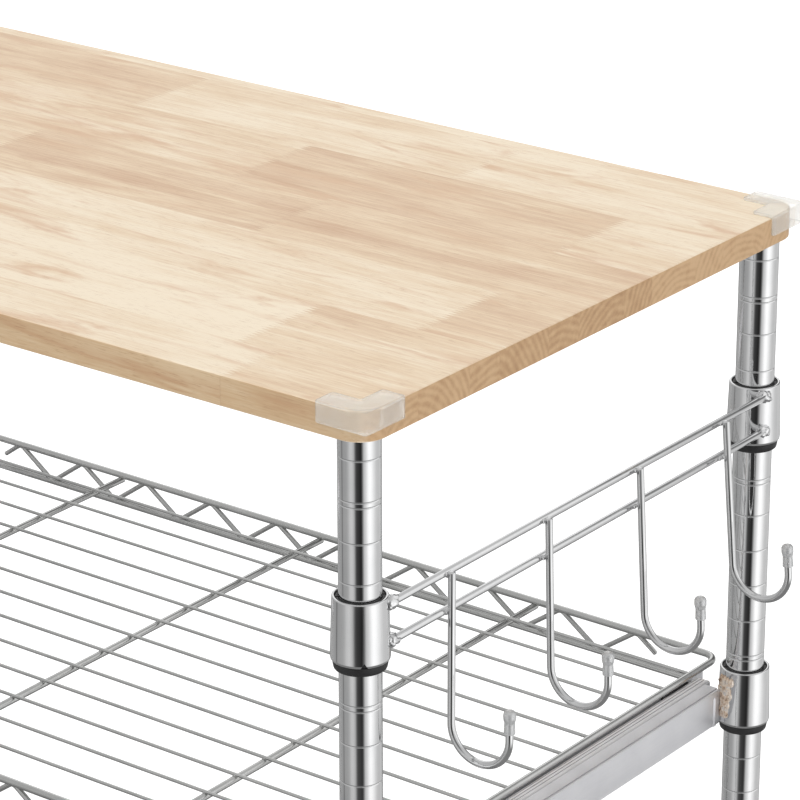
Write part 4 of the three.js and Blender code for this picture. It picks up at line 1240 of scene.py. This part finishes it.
# What polished metal reflects: brightness round the studio, by direction in degrees from +X
# towards +Y, at and below the horizon and then above it
STUDIO_WALLS = (
    (-180, 0.40), (-159, 0.34), (-154, 0.14), (-149, 0.35), (-136, 0.38), (-125, 0.40), (-115, 0.47),
    (-105, 0.62), (-95, 0.66), (-88, 0.60), (-82, 0.48), (-77, 0.28), (-72, 0.10), (-66, 0.05), (-46, 0.02),
    (-41, 0.06), (-35, 0.30), (-30, 0.60), (-20, 0.80), (-8, 1.15), (0, 1.25), (8, 1.20), (20, 1.02),
    (33, 0.80), (45, 0.67), (60, 0.62), (80, 0.66), (103, 0.45), (116, 0.08), (140, 0.08), (152, 0.45),
    (180, 0.40),
)
STUDIO_UPPER = (
    (-180, 0.50), (-150, 0.50), (-127, 0.58), (-95, 0.62), (-75, 0.25), (-50, 0.16), (-30, 0.50),
    (0, 0.95), (40, 0.95), (60, 0.85), (76, 0.22), (98, 0.10), (110, 0.25), (117, 1.0), (137, 1.0),
    (150, 0.55), (180, 0.50),
)
STUDIO_CEILING = 0.60
STUDIO_UNDERFOOT = 0.22
DIFFUSE_LIGHT = 0.68


def camera():
    data = bpy.data.cameras.new("camera")
    data.lens = CAMERA_LENS
    data.clip_start = 0.05
    eye = bpy.data.objects.new("camera", data)
    place = spot_on_post("front_right") + CAMERA_FROM_POST
    eye.matrix_world = (
        placed(place, CAMERA_YAW, "Z") @ Matrix.Rotation(math.pi / 2 - CAMERA_TILT, 4, "X")
        @ Matrix.Rotation(CAMERA_ROLL, 4, "Z"))
    bpy.context.scene.collection.objects.link(eye)
    bpy.context.scene.camera = eye


def floor():
    """A plain pale floor. Mirror-like metal sees the studio's walls below it instead."""
    g = Graph("floor")
    cloud = g.noise(g.place, 2, 2, 0.5)
    g.set(Base_Color=g.ramp(cloud, [(0.3, (0.90, 0.90, 0.90)), (0.7, (0.93, 0.93, 0.93))]))
    g.set(Roughness=0.9, Emission_Color=(1, 1, 1, 1), Emission_Strength=0.3)
    reach = 40
    corners = ((-reach, -reach), (reach, -reach), (reach, reach), (-reach, reach))
    ground = mesh_object("floor", Solid([Vector((x, y, 0)) for x, y in corners], [(0, 1, 2, 3)]))
    ground.data.materials.append(g.material)
    ground.visible_glossy = False


def sun(name, azimuth, height, width, strength):
    """Soft light from far away, given by where it comes from and how wide it looks, in degrees."""
    data = bpy.data.lights.new(name, "SUN")
    data.energy = strength
    data.angle = math.radians(width)
    lamp = bpy.data.objects.new(name, data)
    lamp.rotation_euler = (math.radians(90 - height), 0, math.radians(azimuth + 90))
    lamp.visible_glossy = False  # polished metal sees the studio's own pattern alone
    bpy.context.scene.collection.objects.link(lamp)


def studio():
    world = bpy.data.worlds.new("studio")
    bpy.context.scene.world = world
    world.use_nodes = True
    n = Nodes(world.node_tree)
    x, y, z = n.put("SeparateXYZ", {0: n.put("TexCoord", {}).outputs["Generated"]}).outputs
    around = n.span(n.math("ARCTAN2", y, x), -math.pi, math.pi, 0, 1)
    brightest = max(level for _, level in STUDIO_WALLS)

    def grey(level):
        return [level / brightest] * 3

    def pattern(stops):
        return n.ramp(around, [((degrees + 180) / 360, grey(level)) for degrees, level in stops])

    def upward(start, end):
        """Rises from 0 to 1 between two heights of the direction."""
        return n.span(z, start, end, 0, 1, smooth=True)

    seen = n.mix(upward(-0.15, 0.12), pattern(STUDIO_WALLS), pattern(STUDIO_UPPER))
    seen = n.mix(upward(0.5, 0.85), seen, grey(STUDIO_CEILING))
    seen = n.mix(upward(-0.7, -0.4), grey(STUDIO_UNDERFOOT), seen)
    rays = n.put("LightPath", {}).outputs
    seen = n.mix(rays["Is Diffuse Ray"], seen, grey(DIFFUSE_LIGHT))
    light = n.tree.nodes["Background"]
    n.plug(light, {"Color": seen, "Strength": brightest})
    backdrop = n.put("Background", {"Color": (1, 1, 1, 1)})
    straight = n.math("MAXIMUM", rays["Is Camera Ray"], rays["Is Transmission Ray"])
    choice = n.put("MixShader", {0: straight, 1: light.outputs[0], 2: backdrop.outputs[0]})
    n.plug(n.tree.nodes["World Output"], {"Surface": choice.outputs[0]})
    sun("key", azimuth=-125, height=58, width=50, strength=1.04)
    sun("fill", azimuth=-20, height=50, width=60, strength=0.45)
    bpy.context.scene.view_settings.view_transform = "Standard"


camera()
studio()
floor()
wood_top()
posts()
hook_rail()
side_brackets()
slides()
pullout_shelf()
bottom_shelf()
for corner_name in CORNERS:
    corner_guard(corner_name)
    caster_stem(corner_name)
    caster_fork(corner_name)
    caster_wheel(corner_name)
    caster_axle(corner_name)
    if corner_name.startswith("front"):
        brake_pedal(corner_name)
